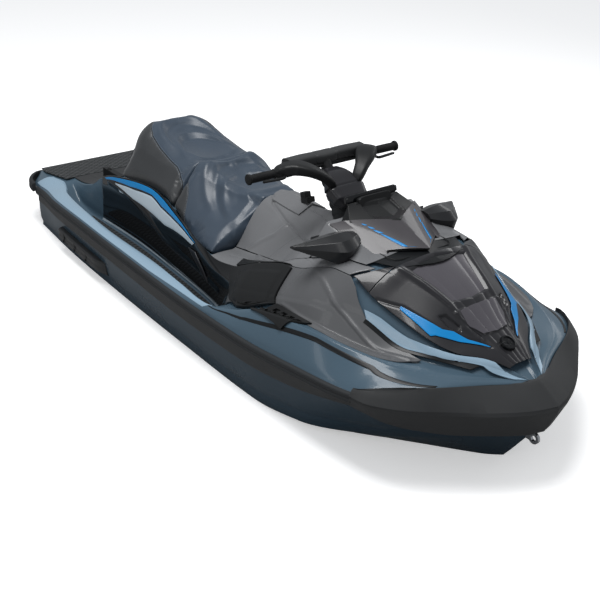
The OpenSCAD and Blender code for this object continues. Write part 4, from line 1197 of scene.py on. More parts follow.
# fairing, shoulder, dark knee panel, vent, the pale blade beside the hood and the gunwale's stripes
FRONT = (
    # painted shade: the fairings take the darker titanium copy, for sides that face away from the light above
    Panel("fairing_{}_moulded",
          [(0.243, 3.02), (0.45, 2.98), (0.64, 3.02), (0.70, 2.75), (0.86, 2.14), (1.0, 1.95), (1.157, 1.85),
           (1.24, 2.25), (1.285, 2.75)],
          [(0.243, 4.98), (0.5, 4.98), (0.895, 4.98), (0.94, 4.8), (0.985, 4.4), (1.03, 4.0), (1.12, 3.86),
           (1.22, 3.7), (1.29, 2.95)], (240, 70), 0.001, TITANIUM_SHADED, "titanium_panel", node="fairing_{}",
          marks=[Groove([(0.60, 2.9), (0.62, 4.0), (0.66, 5.0)], 0.002, 0.002),
                 Groove([(0.70, 5.0), (0.86, 4.35), (0.99, 3.6), (1.12, 3.1), (1.26, 2.75)], 0.009, -0.005),
                 Groove([(0.66, 3.2), (0.86, 2.6), (1.05, 2.35), (1.2, 2.4)], 0.008, -0.003)]),
    Panel("shoulder_{}_moulded", [(0.017, 0.005), (0.885, 0.005)], [(0.017, 0.985), (0.94, 0.985)], (150, 30), 0.001,
          TITANIUM, "titanium_panel", upper_skin=True,
          marks=[Groove([(0.06, 0.5), (0.25, 0.62), (0.45, 0.3), (0.56, 0.02)], 0.002, 0.002),
                 Groove([(0.23, 0.98), (0.33, 0.5), (0.36, 0.0)], 0.014, -0.006),
                 Groove([(0.60, 0.98), (0.66, 0.5), (0.70, 0.0)], 0.002, 0.002)]),
    Panel("side_panel_{}_moulded",
          [(0.203, 4.5), (0.25, 3.9), (0.33, 3.0), (0.406, 2.35), (0.50, 2.55), (0.625, 2.93)],
          [(0.19, 4.9), (0.25, 4.985), (0.35, 4.985), (0.45, 4.985), (0.53, 4.985), (0.587, 4.93)], (80, 60), 0.011,
          SATIN_BLACK, "black_plastic", 0.01, node="side_panel_{}",
          marks=[Step([(0.27, 4.75), (0.34, 3.2), (0.43, 2.7), (0.585, 3.1), (0.555, 4.75)], 0.003, 0.010)]),
    Panel("side_panel_top_{}", [(0.205, 0.02), (0.30, 0.02), (0.45, 0.02), (0.575, 0.02)],
          [(0.185, 0.5), (0.28, 0.42), (0.44, 0.16), (0.565, 0.07)], (40, 14), 0.009,
          SATIN_BLACK, "black_plastic", 0.008, upper_skin=True),
    Panel("side_vent_{}_moulded", [VENT[0], VENT[1]], [VENT[3], VENT[2]], (110, 60), 0.010,
          SATIN_BLACK, "black_plastic", 0.008, VENT_SLOTS, "side_vent_{}"),
    Panel("blade_{}", [(1.035, 3.98), (1.12, 3.92), (1.22, 3.82), (1.32, 4.08), (1.456, 3.84), (1.555, 1.9)],
          [(1.012, 4.3), (1.08, 4.45), (1.20, 4.5), (1.34, 4.7), (1.47, 4.8), (1.585, 2.6)], (110, 20), 0.004,
          PALE_GEL, "deck_gelcoat", 0.004),
    Panel("blade_line_{}", [(1.03, 3.80), (1.12, 3.70), (1.22, 3.5), (1.32, 3.5), (1.44, 3.1)],
          [(1.033, 3.99), (1.12, 3.93), (1.22, 3.83), (1.32, 4.09), (1.45, 3.85)], (80, 6), 0.002,
          LINER_GEL, "black_plastic", 0.003),
    Panel("gunwale_strip_{}", [(-1.60, 0.12), (-1.40, 0.12), (-0.9, 0.12), (-0.2, 0.12), (0.25, 0.4)],
          [(-1.57, 2.0), (-1.42, 2.0), (-0.9, 1.93), (-0.2, 1.93), (0.29, 1.2)], (160, 12), 0.0015,
          PALE_GEL, "deck_gelcoat", 0.003),
    Panel("gunwale_line_{}", [(0.20, 0.9), (0.5, 0.55), (0.942, 0.80), (1.2, 0.7), (1.43, 0.15)],
          [(0.20, 1.0), (0.5, 0.66), (0.942, 0.95), (1.2, 0.84), (1.43, 0.30)], (120, 4), 0.0012,
          LINER_GEL, "black_plastic", 0.002),
)
# knee console between seat and cover, with its seams, and the lower hood: a raised U round a
# sunk centre, its front rim, the recess of each lamp and a crease along the middle
CONSOLE = Panel(
    "console_moulded", [(0.017, 1.015), (0.612, 1.015)], [(0.017, 3.0), (0.612, 3.0)], (200, 90), 0.001,
    TITANIUM, "titanium_panel", node="console", upper_skin=True,
    marks=[Groove([(0.0, 2.72), (0.03, 2.55), (0.077, 2.26), (0.21, 2.02), (0.41, 1.90), (0.55, 1.75)], 0.0075, 0.007),
           Groove([(0.056, 2.50), (0.075, 2.7), (0.080, 3.0)], 0.002, 0.003),
           Groove([(0.275, 2.85), (0.36, 2.72), (0.436, 2.58)], 0.0028, 0.004),
           Groove([(0.10, 1.0), (0.22, 1.6), (0.24, 1.95)], 0.012, -0.005),
           Groove([(0.30, 1.0), (0.33, 1.5), (0.36, 1.9)], 0.002, 0.002)])
HOOD = Panel(
    "lower_hood_moulded", [(0.992, 0.01), (1.513, 0.01)], [(1.0, 3.0), (1.513, 3.0)], (190, 110), 0.001,
    CHARCOAL, "charcoal_panel", node="lower_hood", upper_skin=True,
    marks=[Groove([(1.01, 1.30), (1.12, 1.26), (1.225, 1.12), (1.31, 0.86), (1.37, 0.9)], 0.014, -0.009),
           Step([(1.03, 1.40), (1.15, 1.36), (1.228, 1.34), (1.245, 3.2), (1.0, 3.2)], -0.010, 0.020),
           Step([(1.250, 0.90), (1.262, 3.3), (1.385, 3.3), (1.372, 1.2), (1.315, 0.92)], 0.006, 0.012),
           Step([(1.225, 0.62), (1.24, 0.80), (1.30, 0.82), (1.32, 0.70), (1.28, 0.55)], -0.010, 0.008),
           Groove([(1.03, 0.02), (1.12, 0.30), (1.27, 0.38), (1.42, 0.9)], 0.006, 0.004)])
HOOD_SIDES = (
    Panel("hood_wing_{}", [(0.905, 0.02), (0.99, 0.02)], [(0.955, 1.0), (0.99, 1.3)], (24, 20), 0.0015,
          CHARCOAL, "charcoal_panel", 0.004, upper_skin=True),
    Panel("hood_flash_{}", [(1.115, 0.20), (1.20, 0.16), (1.262, 0.10), (1.27, 0.18), (1.34, 0.40), (1.415, 0.82)],
          [(1.110, 0.28), (1.20, 0.36), (1.272, 0.42), (1.30, 0.56), (1.35, 0.62), (1.418, 0.90)], (60, 6), 0.005,
          BLUE, "gloss_black", FILM_WALL, upper_skin=True),
)
HOOD_MIDDLE = (
    Panel("hood_channel", [(1.035, 1.46), (1.225, 1.42)], [(1.02, 3.0), (1.24, 3.0)], (50, 40), -0.0065,
          SMOKE, "charcoal_panel", 0.002, upper_skin=True),
    Panel("hood_beak", [(1.262, 1.10), (1.318, 1.0), (1.366, 1.35)], [(1.262, 3.0), (1.32, 3.0), (1.376, 3.0)],
          (40, 40), 0.009, SMOKE, "charcoal_panel", 0.003, upper_skin=True),
)


@dataclass
class Panels:
    """Side pods, fairings, side panels, vents, console and lower hood, with the nose's cap."""

    cap_at: tuple[float, float, float] = (1.434, 0, 0.476)
    cap_tilt: float = 27.0
    cap_profile: Path = ((0.0, -6), (33, -6), (33, 12), (31.5, 15), (28, 16), (25, 15.5), (23.5, 11), (21, 10.5),
                         (6, 10.5), (5, 12.5), (0.0, 12.5))
    stud_profile: Path = ((0.0, 0), (3, 0), (3, 1.6), (2.2, 2.2), (0.0, 2.2))
    knurl_profile: Path = ((0.0, -7), (1.6, -7), (1.6, 7), (0.0, 7))

    def cap(self) -> None:
        """Round filler cap on the nose: a turned disc with a rim, an inner plate and six studs."""
        place = Matrix.Translation(self.cap_at) @ Matrix.Rotation(math.radians(self.cap_tilt), 4, "Y")
        parts = [turned("cap", np.array(self.cap_profile) * MM, place, 64)]
        for a in np.arange(6) * math.tau / 6:
            stud = place @ Matrix.Translation((0.0145 * math.cos(a), 0.0145 * math.sin(a), 0.0100))
            parts.append(turned("stud", np.array(self.stud_profile) * MM, stud, 14))
        for a in np.arange(18) * math.tau / 18:
            notch = place @ Matrix.Rotation(a, 4, "Z") @ Matrix.Translation((0.0325, 0, 0.004))
            parts.append(turned("knurl", np.array(self.knurl_profile) * MM, notch, 8))
        piece(joined("nose_cap_turned", parts), GLOSS_BLACK, "craft", "gloss_black", "nose_cap", sharp=35)

    def build(self) -> None:
        """All of it."""
        for side in Side:
            for panel in POD + FRONT:
                panel.make(side)
        CONSOLE.make()
        HOOD.make()
        for side in Side:
            for panel in HOOD_SIDES:
                panel.make(side)
        for panel in HOOD_MIDDLE:
            panel.make()
        self.cap()


# --------------------------------------------------------------------------
# Seats
# --------------------------------------------------------------------------
@dataclass(frozen=True)
class Upholstery:
    """Embossed marine vinyl in two colours that meet at a sewn seam.

    The cover carries an attribute "trim": metres from the colour seam, above zero on
    the grey side. The seam itself is a groove with two rows of stitches beside it; the
    groove's colour is darkened as painted shade.
    """

    name: str = "marine_vinyl_two_tone_sewn"
    main: str = "#303c49"
    side: str = "#2a2c2e"
    thread: str = "#67727d"
    pebble_mm: float = 3.0
    stitch_mm: float = 5.0

    def material(self) -> bpy.types.Material:
        """The Blender material, made once."""
        found = bpy.data.materials.get(self.name)
        if found:
            return found
        mat = bpy.data.materials.new(self.name)
        tree = blank_tree(mat)
        place = add(tree, "ShaderNodeTexCoord").outputs["Object"]
        trim = add(tree, "ShaderNodeAttribute", {"attribute_name": "trim"}).outputs["Fac"]
        broad = add(tree, "ShaderNodeTexNoise", values={"Scale": 1 / 0.07, "Detail": 4.0}, links={"Vector": place})
        tones = []
        for colour in (self.main, self.side):
            base = linear(colour)
            mix = add(tree, "ShaderNodeMix", {"data_type": "RGBA"}, links={"Factor": broad.outputs["Fac"]})
            mix.inputs["A"].default_value = tuple(0.88 * c for c in base[:3]) + (1.0,)
            mix.inputs["B"].default_value = tuple(1.10 * c for c in base[:3]) + (1.0,)
            tones.append(mix.outputs["Result"])
        which = add(tree, "ShaderNodeMath", {"operation": "GREATER_THAN"}, {1: 0.0}, {0: trim})
        colour = add(tree, "ShaderNodeMix", {"data_type": "RGBA"},
                     links={"Factor": which.outputs[0], "A": tones[0], "B": tones[1]}).outputs["Result"]
        # seam: the fold reaches 2.2 mm to each side, and a row of stitches sits 4.5 mm from it
        away = add(tree, "ShaderNodeMath", {"operation": "ABSOLUTE"}, links={0: trim}).outputs[0]
        fold = add(tree, "ShaderNodeMapRange", {"interpolation_type": "SMOOTHSTEP"},
                   {"From Min": 0.0, "From Max": 0.0022}, {"Value": away}).outputs["Result"]
        row = add(tree, "ShaderNodeMath", {"operation": "COMPARE"}, {1: 0.0045, 2: 0.0007}, {0: away}).outputs[0]
        wave = add(tree, "ShaderNodeTexWave", {"wave_type": "BANDS", "bands_direction": "X"},
                   {"Scale": math.pi / 10 / (self.stitch_mm * MM)}, {"Vector": place}).outputs["Fac"]
        dash = add(tree, "ShaderNodeMath", {"operation": "GREATER_THAN"}, {1: 0.35}, {0: wave}).outputs[0]
        stitch = add(tree, "ShaderNodeMath", {"operation": "MULTIPLY"}, links={0: row, 1: dash}).outputs[0]
        sewn = add(tree, "ShaderNodeMix", {"data_type": "RGBA"}, links={"Factor": stitch, "A": colour})
        sewn.inputs["B"].default_value = linear(self.thread)
        # painted shade: the colour darkens to a quarter at the middle of the seam's fold
        shaded = add(tree, "ShaderNodeMix", {"data_type": "RGBA", "blend_type": "MULTIPLY"},
                     links={"A": sewn.outputs["Result"]})
        shaded.inputs["Factor"].default_value = 1.0
        level = add(tree, "ShaderNodeMapRange", values={"To Min": 0.25, "To Max": 1.0}, links={"Value": fold})
        tree.links.new(level.outputs["Result"], shaded.inputs["B"])
        cells = add(tree, "ShaderNodeTexVoronoi", {"feature": "SMOOTH_F1"}, {"Scale": 1 / (self.pebble_mm * MM)},
                    {"Vector": place})
        grain = add(tree, "ShaderNodeTexNoise", values={"Scale": 1 / 0.0007, "Detail": 2.0}, links={"Vector": place})
        # heights in metres of the grain, the pebbles, the seam's fold and the stitches
        normal = {}
        for height, source in ((0.00004, grain.outputs["Fac"]), (0.0002, cells.outputs["Distance"]), (0.0022, fold),
                               (0.0006, stitch)):
            bump = add(tree, "ShaderNodeBump", values={"Strength": 1.0, "Distance": height},
                       links={"Height": source, **normal})
            normal = {"Normal": bump.outputs["Normal"]}
        rough = add(tree, "ShaderNodeMapRange", values={"To Min": 0.34, "To Max": 0.48},
                    links={"Value": broad.outputs["Fac"]})
        shader = add(tree, "ShaderNodeBsdfPrincipled", values={"Sheen Weight": 0.12, "Sheen Roughness": 0.4},
                     links={"Base Color": shaded.outputs["Result"], "Roughness": rough.outputs["Result"], **normal})
        add(tree, "ShaderNodeOutputMaterial", links={"Surface": shader.outputs["BSDF"]})
        return mat


UPHOLSTERY = Upholstery()


@dataclass(frozen=True)
class Fold:
    """A welt or crease of the cover: a path over the seat, mirrored to both sides.

    Attributes:
        path: points (x, y) in metres, y to port, seen from above.
        width: half width in metres.
        height: rise in metres, a fall if negative.
        low: points under this height are left alone.
    """

    path: Path
    width: float
    height: float
    low: float = 0.0


@dataclass
class Seats:
    """Rear and front seat: foam buckets under two-tone vinyl.

    Each seat is a loft of half sections. A section runs from the middle of the top to
    the bolster, the outer corner, the flank and the foot; each of those is a Line.
    """

    middle: Line = field(default_factory=lambda: Line(
        (-958, 0, 640), (-935, 0, 712), (-895, 0, 738), (-855, 0, 722), (-790, 0, 682), (-690, 0, 648), (-560, 0, 638),
        (-470, 0, 640), (-437, 0, 652), (-405, 0, 668), (-375, 0, 655), (-320, 0, 618), (-230, 0, 592),
        (-120, 0, 598), (-40, 0, 622), (13, 0, 628)))
    bolster: Line = field(default_factory=lambda: Line(
        (-958, 95, 635), (-935, 110, 706), (-895, 128, 734), (-855, 138, 730), (-790, 146, 710), (-690, 150, 684),
        (-560, 148, 664), (-470, 146, 660), (-437, 150, 668), (-405, 150, 677), (-375, 146, 668), (-320, 138, 640),
        (-230, 126, 610), (-120, 112, 606), (-40, 100, 622), (13, 92, 626)))
    corner: Line = field(default_factory=lambda: Line(
        (-958, 150, 600), (-935, 176, 655), (-895, 196, 682), (-855, 206, 684), (-790, 212, 668), (-690, 214, 644),
        (-560, 210, 622), (-470, 205, 612), (-437, 204, 622), (-405, 202, 632), (-375, 196, 624), (-320, 186, 596),
        (-230, 168, 566), (-120, 150, 560), (-40, 134, 574), (13, 124, 580)))
    folds: Sequence[Fold] = (
        Fold(((-0.885, 0.0), (-0.862, 0.08), (-0.80, 0.135), (-0.70, 0.160)), 0.016, 0.006, 0.6),
        Fold(((-0.835, 0.0), (-0.81, 0.07), (-0.75, 0.115), (-0.66, 0.128), (-0.56, 0.122)), 0.014, -0.006, 0.6),
        Fold(((-0.775, 0.0), (-0.755, 0.055), (-0.70, 0.098), (-0.62, 0.125), (-0.52, 0.15)), 0.014, 0.007, 0.6),
        Fold(((-0.735, 0.0), (-0.715, 0.05), (-0.66, 0.088), (-0.58, 0.112)), 0.012, -0.005, 0.6),
        Fold(((-0.405, 0.0), (-0.398, 0.08), (-0.37, 0.15), (-0.30, 0.205), (-0.20, 0.235)), 0.016, 0.006),
        Fold(((-0.355, 0.03), (-0.33, 0.10), (-0.27, 0.165), (-0.17, 0.22), (-0.07, 0.252)), 0.017, -0.008),
        Fold(((-0.285, 0.05), (-0.24, 0.13), (-0.16, 0.19), (-0.06, 0.225)), 0.015, 0.007),
        Fold(((-0.230, 0.02), (-0.18, 0.10), (-0.10, 0.150)), 0.016, -0.004),
    )
    voxel: float = 0.0065
    swell_cap: float = 0.008
    pressure: float = 4.0
    quality: int = 4
    frames: int = 14
    seam_depth: float = 0.003
    seam_width: float = 0.006

    def sections(self, x: Array, n: int) -> Array:
        """Half sections: a smooth curve through the middle, the bolster, the corner and the
        flank, then straight to the foot, which is tucked in.

        Args:
            x: stations in metres.
            n: points of a section.

        Returns:
            Points (y, z), shape (stations, n, 2).
        """
        foot = Deck().core_ridge(x)
        edge = SHOULDER(x)
        m, b, c = self.middle(x), self.bolster(x), self.corner(x)
        m = yz(0.0, m[:, 1])
        half = yz(0.5 * b[:, 0], 0.38 * b[:, 1] + 0.62 * m[:, 1])
        flank_y = 0.42 * c[:, 0] + 0.58 * np.maximum(foot[:, 0], 0.9 * edge[:, 0])
        flank = yz(flank_y, 0.5 * c[:, 1] + 0.5 * (foot[:, 1] + 0.03))
        low = yz(foot[:, 0] + 0.004, foot[:, 1] + 0.032)
        tuck = yz(foot[:, 0] - 0.004, foot[:, 1] + 0.008)
        under = yz(foot[:, 0] - 0.03, foot[:, 1] + 0.003)
        base = yz(0 * x, foot[:, 1] + 0.003)
        rows = np.stack([m, half, b, c, flank, low, tuck, under, base], 1)
        t = np.linspace(0, rows.shape[1] - 1, n)
        i = np.clip(np.floor(t).astype(int), 0, rows.shape[1] - 2)
        s = (t - i)[None, :, None]
        q = np.concatenate([(rows[:, 1:2] * [-1, 1]), rows, rows[:, -1:]], 1)
        p0, p1, p2, p3 = q[:, i], q[:, i + 1], q[:, i + 2], q[:, i + 3]
        cubic = 0.5 * (2 * p1 + (p2 - p0) * s + (2 * p0 - 5 * p1 + 4 * p2 - p3) * s**2
                       + (3 * p1 - p0 - 3 * p2 + p3) * s**3)
        return np.where((i >= 6)[None, :, None], p1 + (p2 - p1) * s, cubic)

    def cushion(self, name: str, lo: float, hi: float, round_lo: float, round_hi: float) -> bpy.types.Object:
        """Closed form of one seat; its ends close in a quarter circle of the given radii.

        Near an end each section shrinks towards its own middle height by
        1 - sqrt(1 - u^2), with u going from 0 to 1 over the radius.

        Args:
            name: the piece's name.
            lo: rear end in metres.
            hi: front end in metres.
            round_lo: radius of the rear end.
            round_hi: radius of the front end.

        Returns:
            The cushion's object.
        """
        x = lo + (hi - lo) * (1 - np.cos(np.linspace(0, math.pi, 90))) / 2
        half = self.sections(x, 90)
        full = all_round(half)
        u = np.maximum(np.clip(1 - (x - lo) / round_lo, 0, 1), np.clip(1 - (hi - x) / round_hi, 0, 1))
        pull = (1 - np.sqrt(np.maximum(1 - u * u, 0)))[:, None]
        size = np.where(x < (lo + hi) / 2, round_lo, round_hi)[:, None]
        centre_z = (full[:, :, 1].max(1) + full[:, :, 1].min(1))[:, None] / 2
        reach = np.maximum(np.linalg.norm(full - np.stack([0 * centre_z, centre_z], -1), axis=-1), 1e-3)
        share = np.clip(1 - pull * size / reach, 0.02, 1)
        full[..., 0] *= share
        full[..., 1] = centre_z + (full[..., 1] - centre_z) * share
        full[..., 1] = np.maximum(full[..., 1], half[:, -1:, 1])
        return solid(name, stations(x, full))

    def stuff(self, obj: bpy.types.Object) -> None:
        """Foam pressure in the cover: a cloth simulation on a remeshed copy, its
        movement capped, then put back on the piece."""
        work = obj.copy()
        work.data = obj.data.copy()
        bpy.context.scene.collection.objects.link(work)
        modifier(work, "REMESH", mode="VOXEL", voxel_size=self.voxel)
        bpy.context.view_layer.update()
        mesh = bpy.data.meshes.new_from_object(work.evaluated_get(bpy.context.evaluated_depsgraph_get()))
        work.modifiers.clear()
        work.data = mesh
        after = before = vertex_data(mesh)
        cloth = work.modifiers.new("Cloth", "CLOTH")
        cloth.settings.use_pressure = True
        cloth.settings.uniform_pressure_force = self.pressure
        cloth.settings.effector_weights.gravity = 0.0
        cloth.settings.quality = self.quality
        cloth.point_cache.frame_start, cloth.point_cache.frame_end = 1, self.frames
        group = work.vertex_groups.new(name="seat_pan")
        low = before[:, 2] < np.percentile(before[:, 2], 4) + 0.012
        group.add(np.flatnonzero(low).tolist(), 1.0, "REPLACE")
        cloth.settings.vertex_group_mass = "seat_pan"
        for number in range(1, self.frames + 1):
            bpy.context.scene.frame_set(number)
        solved = work.evaluated_get(bpy.context.evaluated_depsgraph_get()).to_mesh()
        move = vertex_data(solved) - before
        bpy.context.scene.frame_set(1)
        far = np.linalg.norm(move, axis=1, keepdims=True)
        after = before + move * np.minimum(1, self.swell_cap / np.maximum(far, 1e-9))
        log.info("%s: cover moved up to %.1f mm", obj.name, 1000 * float(far.max()))
        work.modifiers.clear()
        mesh.vertices.foreach_set("co", after.astype(np.float32).ravel())
        obj.data = mesh.copy()
        bpy.data.objects.remove(work)
        smooth = obj.modifiers.new("Relax", "SMOOTH")
        smooth.factor, smooth.iterations = 0.5, 3
        bpy.context.view_layer.update()
        obj.data = bpy.data.meshes.new_from_object(obj.evaluated_get(bpy.context.evaluated_depsgraph_get()))
        obj.modifiers.clear()

    def trim_distance(self, p: Array, rear: bool) -> Array:
        """Metres from the colour seam, above zero on the grey side.

        Rear seat: grey lies outside a curve that runs along the bolster and round the
        back, so the value is the larger of the distances past the two. Front seat: grey
        is the small flank panel at its rear corner.
        """
        x, y = p[:, 0], np.abs(p[:, 1])
        if rear:
            wide = np.interp(x, [-0.96, -0.93, -0.90, -0.86, -0.80, -0.70, -0.60, -0.53, -0.44],
                             [-0.10, 0.02, 0.105, 0.150, 0.178, 0.196, 0.205, 0.212, 0.236])
            back = np.interp(y, [0, 0.06, 0.12, 0.3], [-0.934, -0.930, -0.915, -0.80])
            return np.maximum(y - wide, back - x)
        return np.minimum(y - np.interp(x, [-0.435, -0.36, -0.28], [0.215, 0.262, 0.36]), -0.25 - x)

    def cover(self, obj: bpy.types.Object, rear: bool) -> None:
        """Folds, seams and the colour attribute on a stuffed seat.

        A fold moves the points near its path up by height * exp(-(distance / width)^2),
        with the distance measured from above.
        """
        mesh = obj.data
        p, n = vertex_data(mesh), vertex_data(mesh, "normal")
        flat = np.stack([p[:, 0], np.abs(p[:, 1])], -1)
        rise = np.zeros(len(p))
        for fold in self.folds:
            path = smooth_path(fold.path, 40)
            d = distance_to(flat, path)
            along = np.clip((flat[:, 0] - path[0, 0] + 0.03) / 0.03, 0, 1)
            along = along * np.clip((path[-1, 0] + 0.02 - flat[:, 0]) / 0.08, 0, 1)
            rise += fold.height * np.exp(-((d / fold.width) ** 2)) * along * np.clip(n[:, 2] * 3, 0, 1)
        trim = self.trim_distance(p, rear)
        rise -= self.seam_depth * np.exp(-((trim / self.seam_width) ** 2))
        p = p + rise[:, None] * n
        mesh.vertices.foreach_set("co", p.astype(np.float32).ravel())
        layer = mesh.attributes.new("trim", "FLOAT", "POINT")
        layer.data.foreach_set("value", trim.astype(np.float32))
        mesh.update()

    def build(self) -> None:
        """All of it."""
        for name, node, lo, hi, back, front in (("seat_rear_padded", "seat_rear", -0.957, -0.4385, 0.045, 0.018),
                                                ("seat_front_padded", "seat_front", -0.4315, 0.0125, 0.022, 0.015)):
            obj = self.cushion(name, lo, hi, back, front)
            self.stuff(obj)
            self.cover(obj, node == "seat_rear")
            modifier(obj, "SUBSURF", levels=1, render_levels=1)
            obj.data.shade_smooth()
            dress(obj, UPHOLSTERY)
            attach(obj, "craft")
            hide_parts(node)
            log.info("%s: %d faces", obj.name, len(obj.data.polygons))


# --------------------------------------------------------------------------
# Bow storage cover
# --------------------------------------------------------------------------
@dataclass
class Storage:
    """Hinged bow cover: lid with its brow, windshield, gauge and mirrors."""

    back: float = 0.6225
    front: float = 0.905
    hinge: tuple[float, float] = (0.992, 0.700)
    foot: Line = field(default_factory=lambda: Line((620, 244, 748), (700, 232, 728), (755, 224, 713), (850, 208, 684),
                                                    (910, 196, 660), (960, 176, 642)))
    lip: tuple[float, float, float] = (0.624, 0.145, 0.835)
    # middle, edge, foot, floor and core of the lid, each from its back end to its front end
    lid_lines: Sequence[Path] = (((0.802, 0, 0.770), (0.984, 0, 0.708)), ((0.680, 0.200, 0.766), (0.882, 0.138, 0.694)),
                                 ((0.640, 0.246, 0.747), (0.936, 0.184, 0.652)),
                                 ((0.705, 0.12, 0.715), (0.870, 0.110, 0.660)), ((0.802, 0, 0.710), (0.900, 0, 0.668)))
    lid_crown: tuple[float, float, float] = (0, 0, 0.004)
    # stripes of the lid: start (along, across), end (along, across) and width as shares of it
    flashes: Path = ((0.14, 0.78, 0.20, 0.75, 0.06), (0.24, 0.74, 0.32, 0.70, 0.07), (0.36, 0.72, 0.48, 0.66, 0.09),
                     (0.50, 0.68, 0.94, 0.52, 0.12), (0.93, 0.53, 0.955, 0.28, 0.05))
    # stations of a mirror: y, rear x, front x, top z, crease z, bottom z
    mirror_rows: Path = (
        (0.200, 0.720, 0.790, 0.742, 0.722, 0.700), (0.240, 0.706, 0.822, 0.750, 0.716, 0.672),
        (0.285, 0.697, 0.842, 0.752, 0.712, 0.648), (0.320, 0.692, 0.838, 0.748, 0.710, 0.646),
        (0.370, 0.683, 0.782, 0.734, 0.707, 0.668), (0.420, 0.671, 0.722, 0.719, 0.703, 0.684),
        (0.455, 0.660, 0.676, 0.709, 0.702, 0.695), (0.462, 0.658, 0.662, 0.705, 0.702, 0.699))

    def edge(self, x: Array) -> Array:
        """Lower edge of the cover, just above the ridge."""
        return RIDGE(x) + [0.002, 0.007]

    def base(self) -> None:
        """Cover body: rings from the inner floor over the flank to the lid's foot; the lower
        back is kept inside a circle about the hinge, so that it clears the console."""
        x = self.back + (self.front - self.back) * (1 - np.cos(np.linspace(0, math.pi, 90))) / 2
        b, f = self.edge(x), self.foot(x)
        s = np.linspace(0, 1, 14)[None, :, None]
        flank = b[:, None] * (1 - s) + f[:, None] * s + np.sin(math.pi * s) * [0.004, 0.006]
        floor_z = np.minimum(MIDDLE(x)[:, 1] - 0.010, b[:, 1] + 0.10)
        under = np.stack([yz(0 * x, floor_z), yz(0.5 * b[:, 0], 0.5 * floor_z + 0.5 * b[:, 1] - 0.002),
                          yz(b[:, 0] - 0.010, b[:, 1] - 0.001)], 1)
        sink = 0.034 * np.clip((x - 0.70) / 0.05, 0, 1)
        over = np.stack([f + [-0.012, 0.003], yz(0.5 * f[:, 0], f[:, 1] - sink), yz(0 * x, f[:, 1] - sink)], 1)
        half = np.concatenate([under, flank, over], 1)
        r = self.hinge[0] - self.back
        guard = self.hinge[1] - np.sqrt(np.maximum(r * r - (self.hinge[0] - x) ** 2, 0))
        half[..., 1] = np.maximum(half[..., 1], guard[:, None])
        obj = bevel(solid("upper_hood_base", stations(x, all_round(half))), 0.003, 2, 50)
        piece(obj, TITANIUM, "cover", "titanium_panel", "upper_hood", sharp=35)

    def lid(self) -> None:
        """Faceted lid: two planes meet on a centre ridge, their edges drop as walls to the foot.

        A half ring at share s of the length runs middle, edge, foot, floor, and each of
        these four moves on a line of its own, so that the front edge makes a shallow point.
        """
        s, t = np.linspace(0, 1, 40), np.linspace(0, 1, 16)[None, :, None]
        middle, edge, low, tuck, core = (between(ends, s)[:, None] for ends in self.lid_lines)
        plane = middle * (1 - t) + edge * t + np.sin(math.pi * t) * self.lid_crown
        half = np.concatenate([plane, (edge * (1 - t) + low * t)[:, 1:], tuck, core], 1)
        full = np.concatenate([half, (half * [1, -1, 1])[:, -2:0:-1]], 1)
        piece(bevel(solid("hood_lid", full), 0.004, 3, 22), SMOKE_DARK, "cover", "charcoal_panel", sharp=22)
        for side in Side:
            for number, flash in enumerate(self.flashes):
                self.flash(f"cover_flash_{number}_{side.tag}", side, *flash)

    def flash(self, name: str, side: Side, s0: float, t0: float, s1: float, t1: float, width: float) -> None:
        """Thin stripe on a plane of the lid, narrow at its start.

        Args:
            name: the piece's name.
            side: the plane that it lies on.
            s0: share of the lid's length at its start.
            t0: share of the way from middle to edge at its start.
            s1: the same along, at its end.
            t1: the same across, at its end.
            width: its full width, as a share of the way across.
        """
        a, c = np.linspace(0, 1, 24)[:, None], np.linspace(-0.5, 0.5, 4)[None]
        s = s0 + (s1 - s0) * a + 0 * c
        t = (t0 + (t1 - t0) * a + c * width * np.clip(0.35 + a * 1.2, 0, 1))[..., None]
        middle, edge = between(self.lid_lines[0], s), between(self.lid_lines[1], s)
        points = middle * (1 - t) + edge * t + np.sin(math.pi * t) * self.lid_crown + [0, 0, 0.0008]
        piece(wall(sheet(name, points * [1, side.value, 1], (0, 0, 1)), 0.0006, 0), BLUE, "cover", "gloss_black")

    def slot(self) -> None:
        """Gloss-black throat under the lid's front edge: back from the edge, down to the deck
        and out to the lower hood."""
        v = np.linspace(1.34, 3, 50)
        halves = []
        for side in (Side.PORT, Side.STARBOARD):
            skin = top_skin(side)
            sill_x = np.interp(v, [1.33, 2.5, 3], [1.012, 1.052, 1.058])
            sill = skin.point(sill_x, v) + 0.003 * skin.normal(sill_x, v)
            y = np.clip(np.abs(sill[:, 1]), 0, 0.165)
            x = 0.980 - 0.098 * y / 0.138
            head = np.stack([x, side.value * y, 0.703 - 0.014 * y / 0.138], -1)
            floor = skin.point(x + 0.004, v) + 0.003 * skin.normal(x, v)
            floor[:, 2] = np.minimum(floor[:, 2], head[:, 2] - 0.012)
            rows = [head, head * 0.5 + floor * 0.5 + [-0.022, 0, 0], floor, floor * 0.5 + sill * 0.5, sill]
            halves.append(np.stack(rows, 1))
        points = np.concatenate([halves[0], halves[1][-2::-1]], 0)
        obj = wall(sheet("hood_throat", points, (1, 0, 0.4)), 0.003, 0.0005)
        piece(obj, LINER_GEL, "craft", "gloss_black", sharp=30)

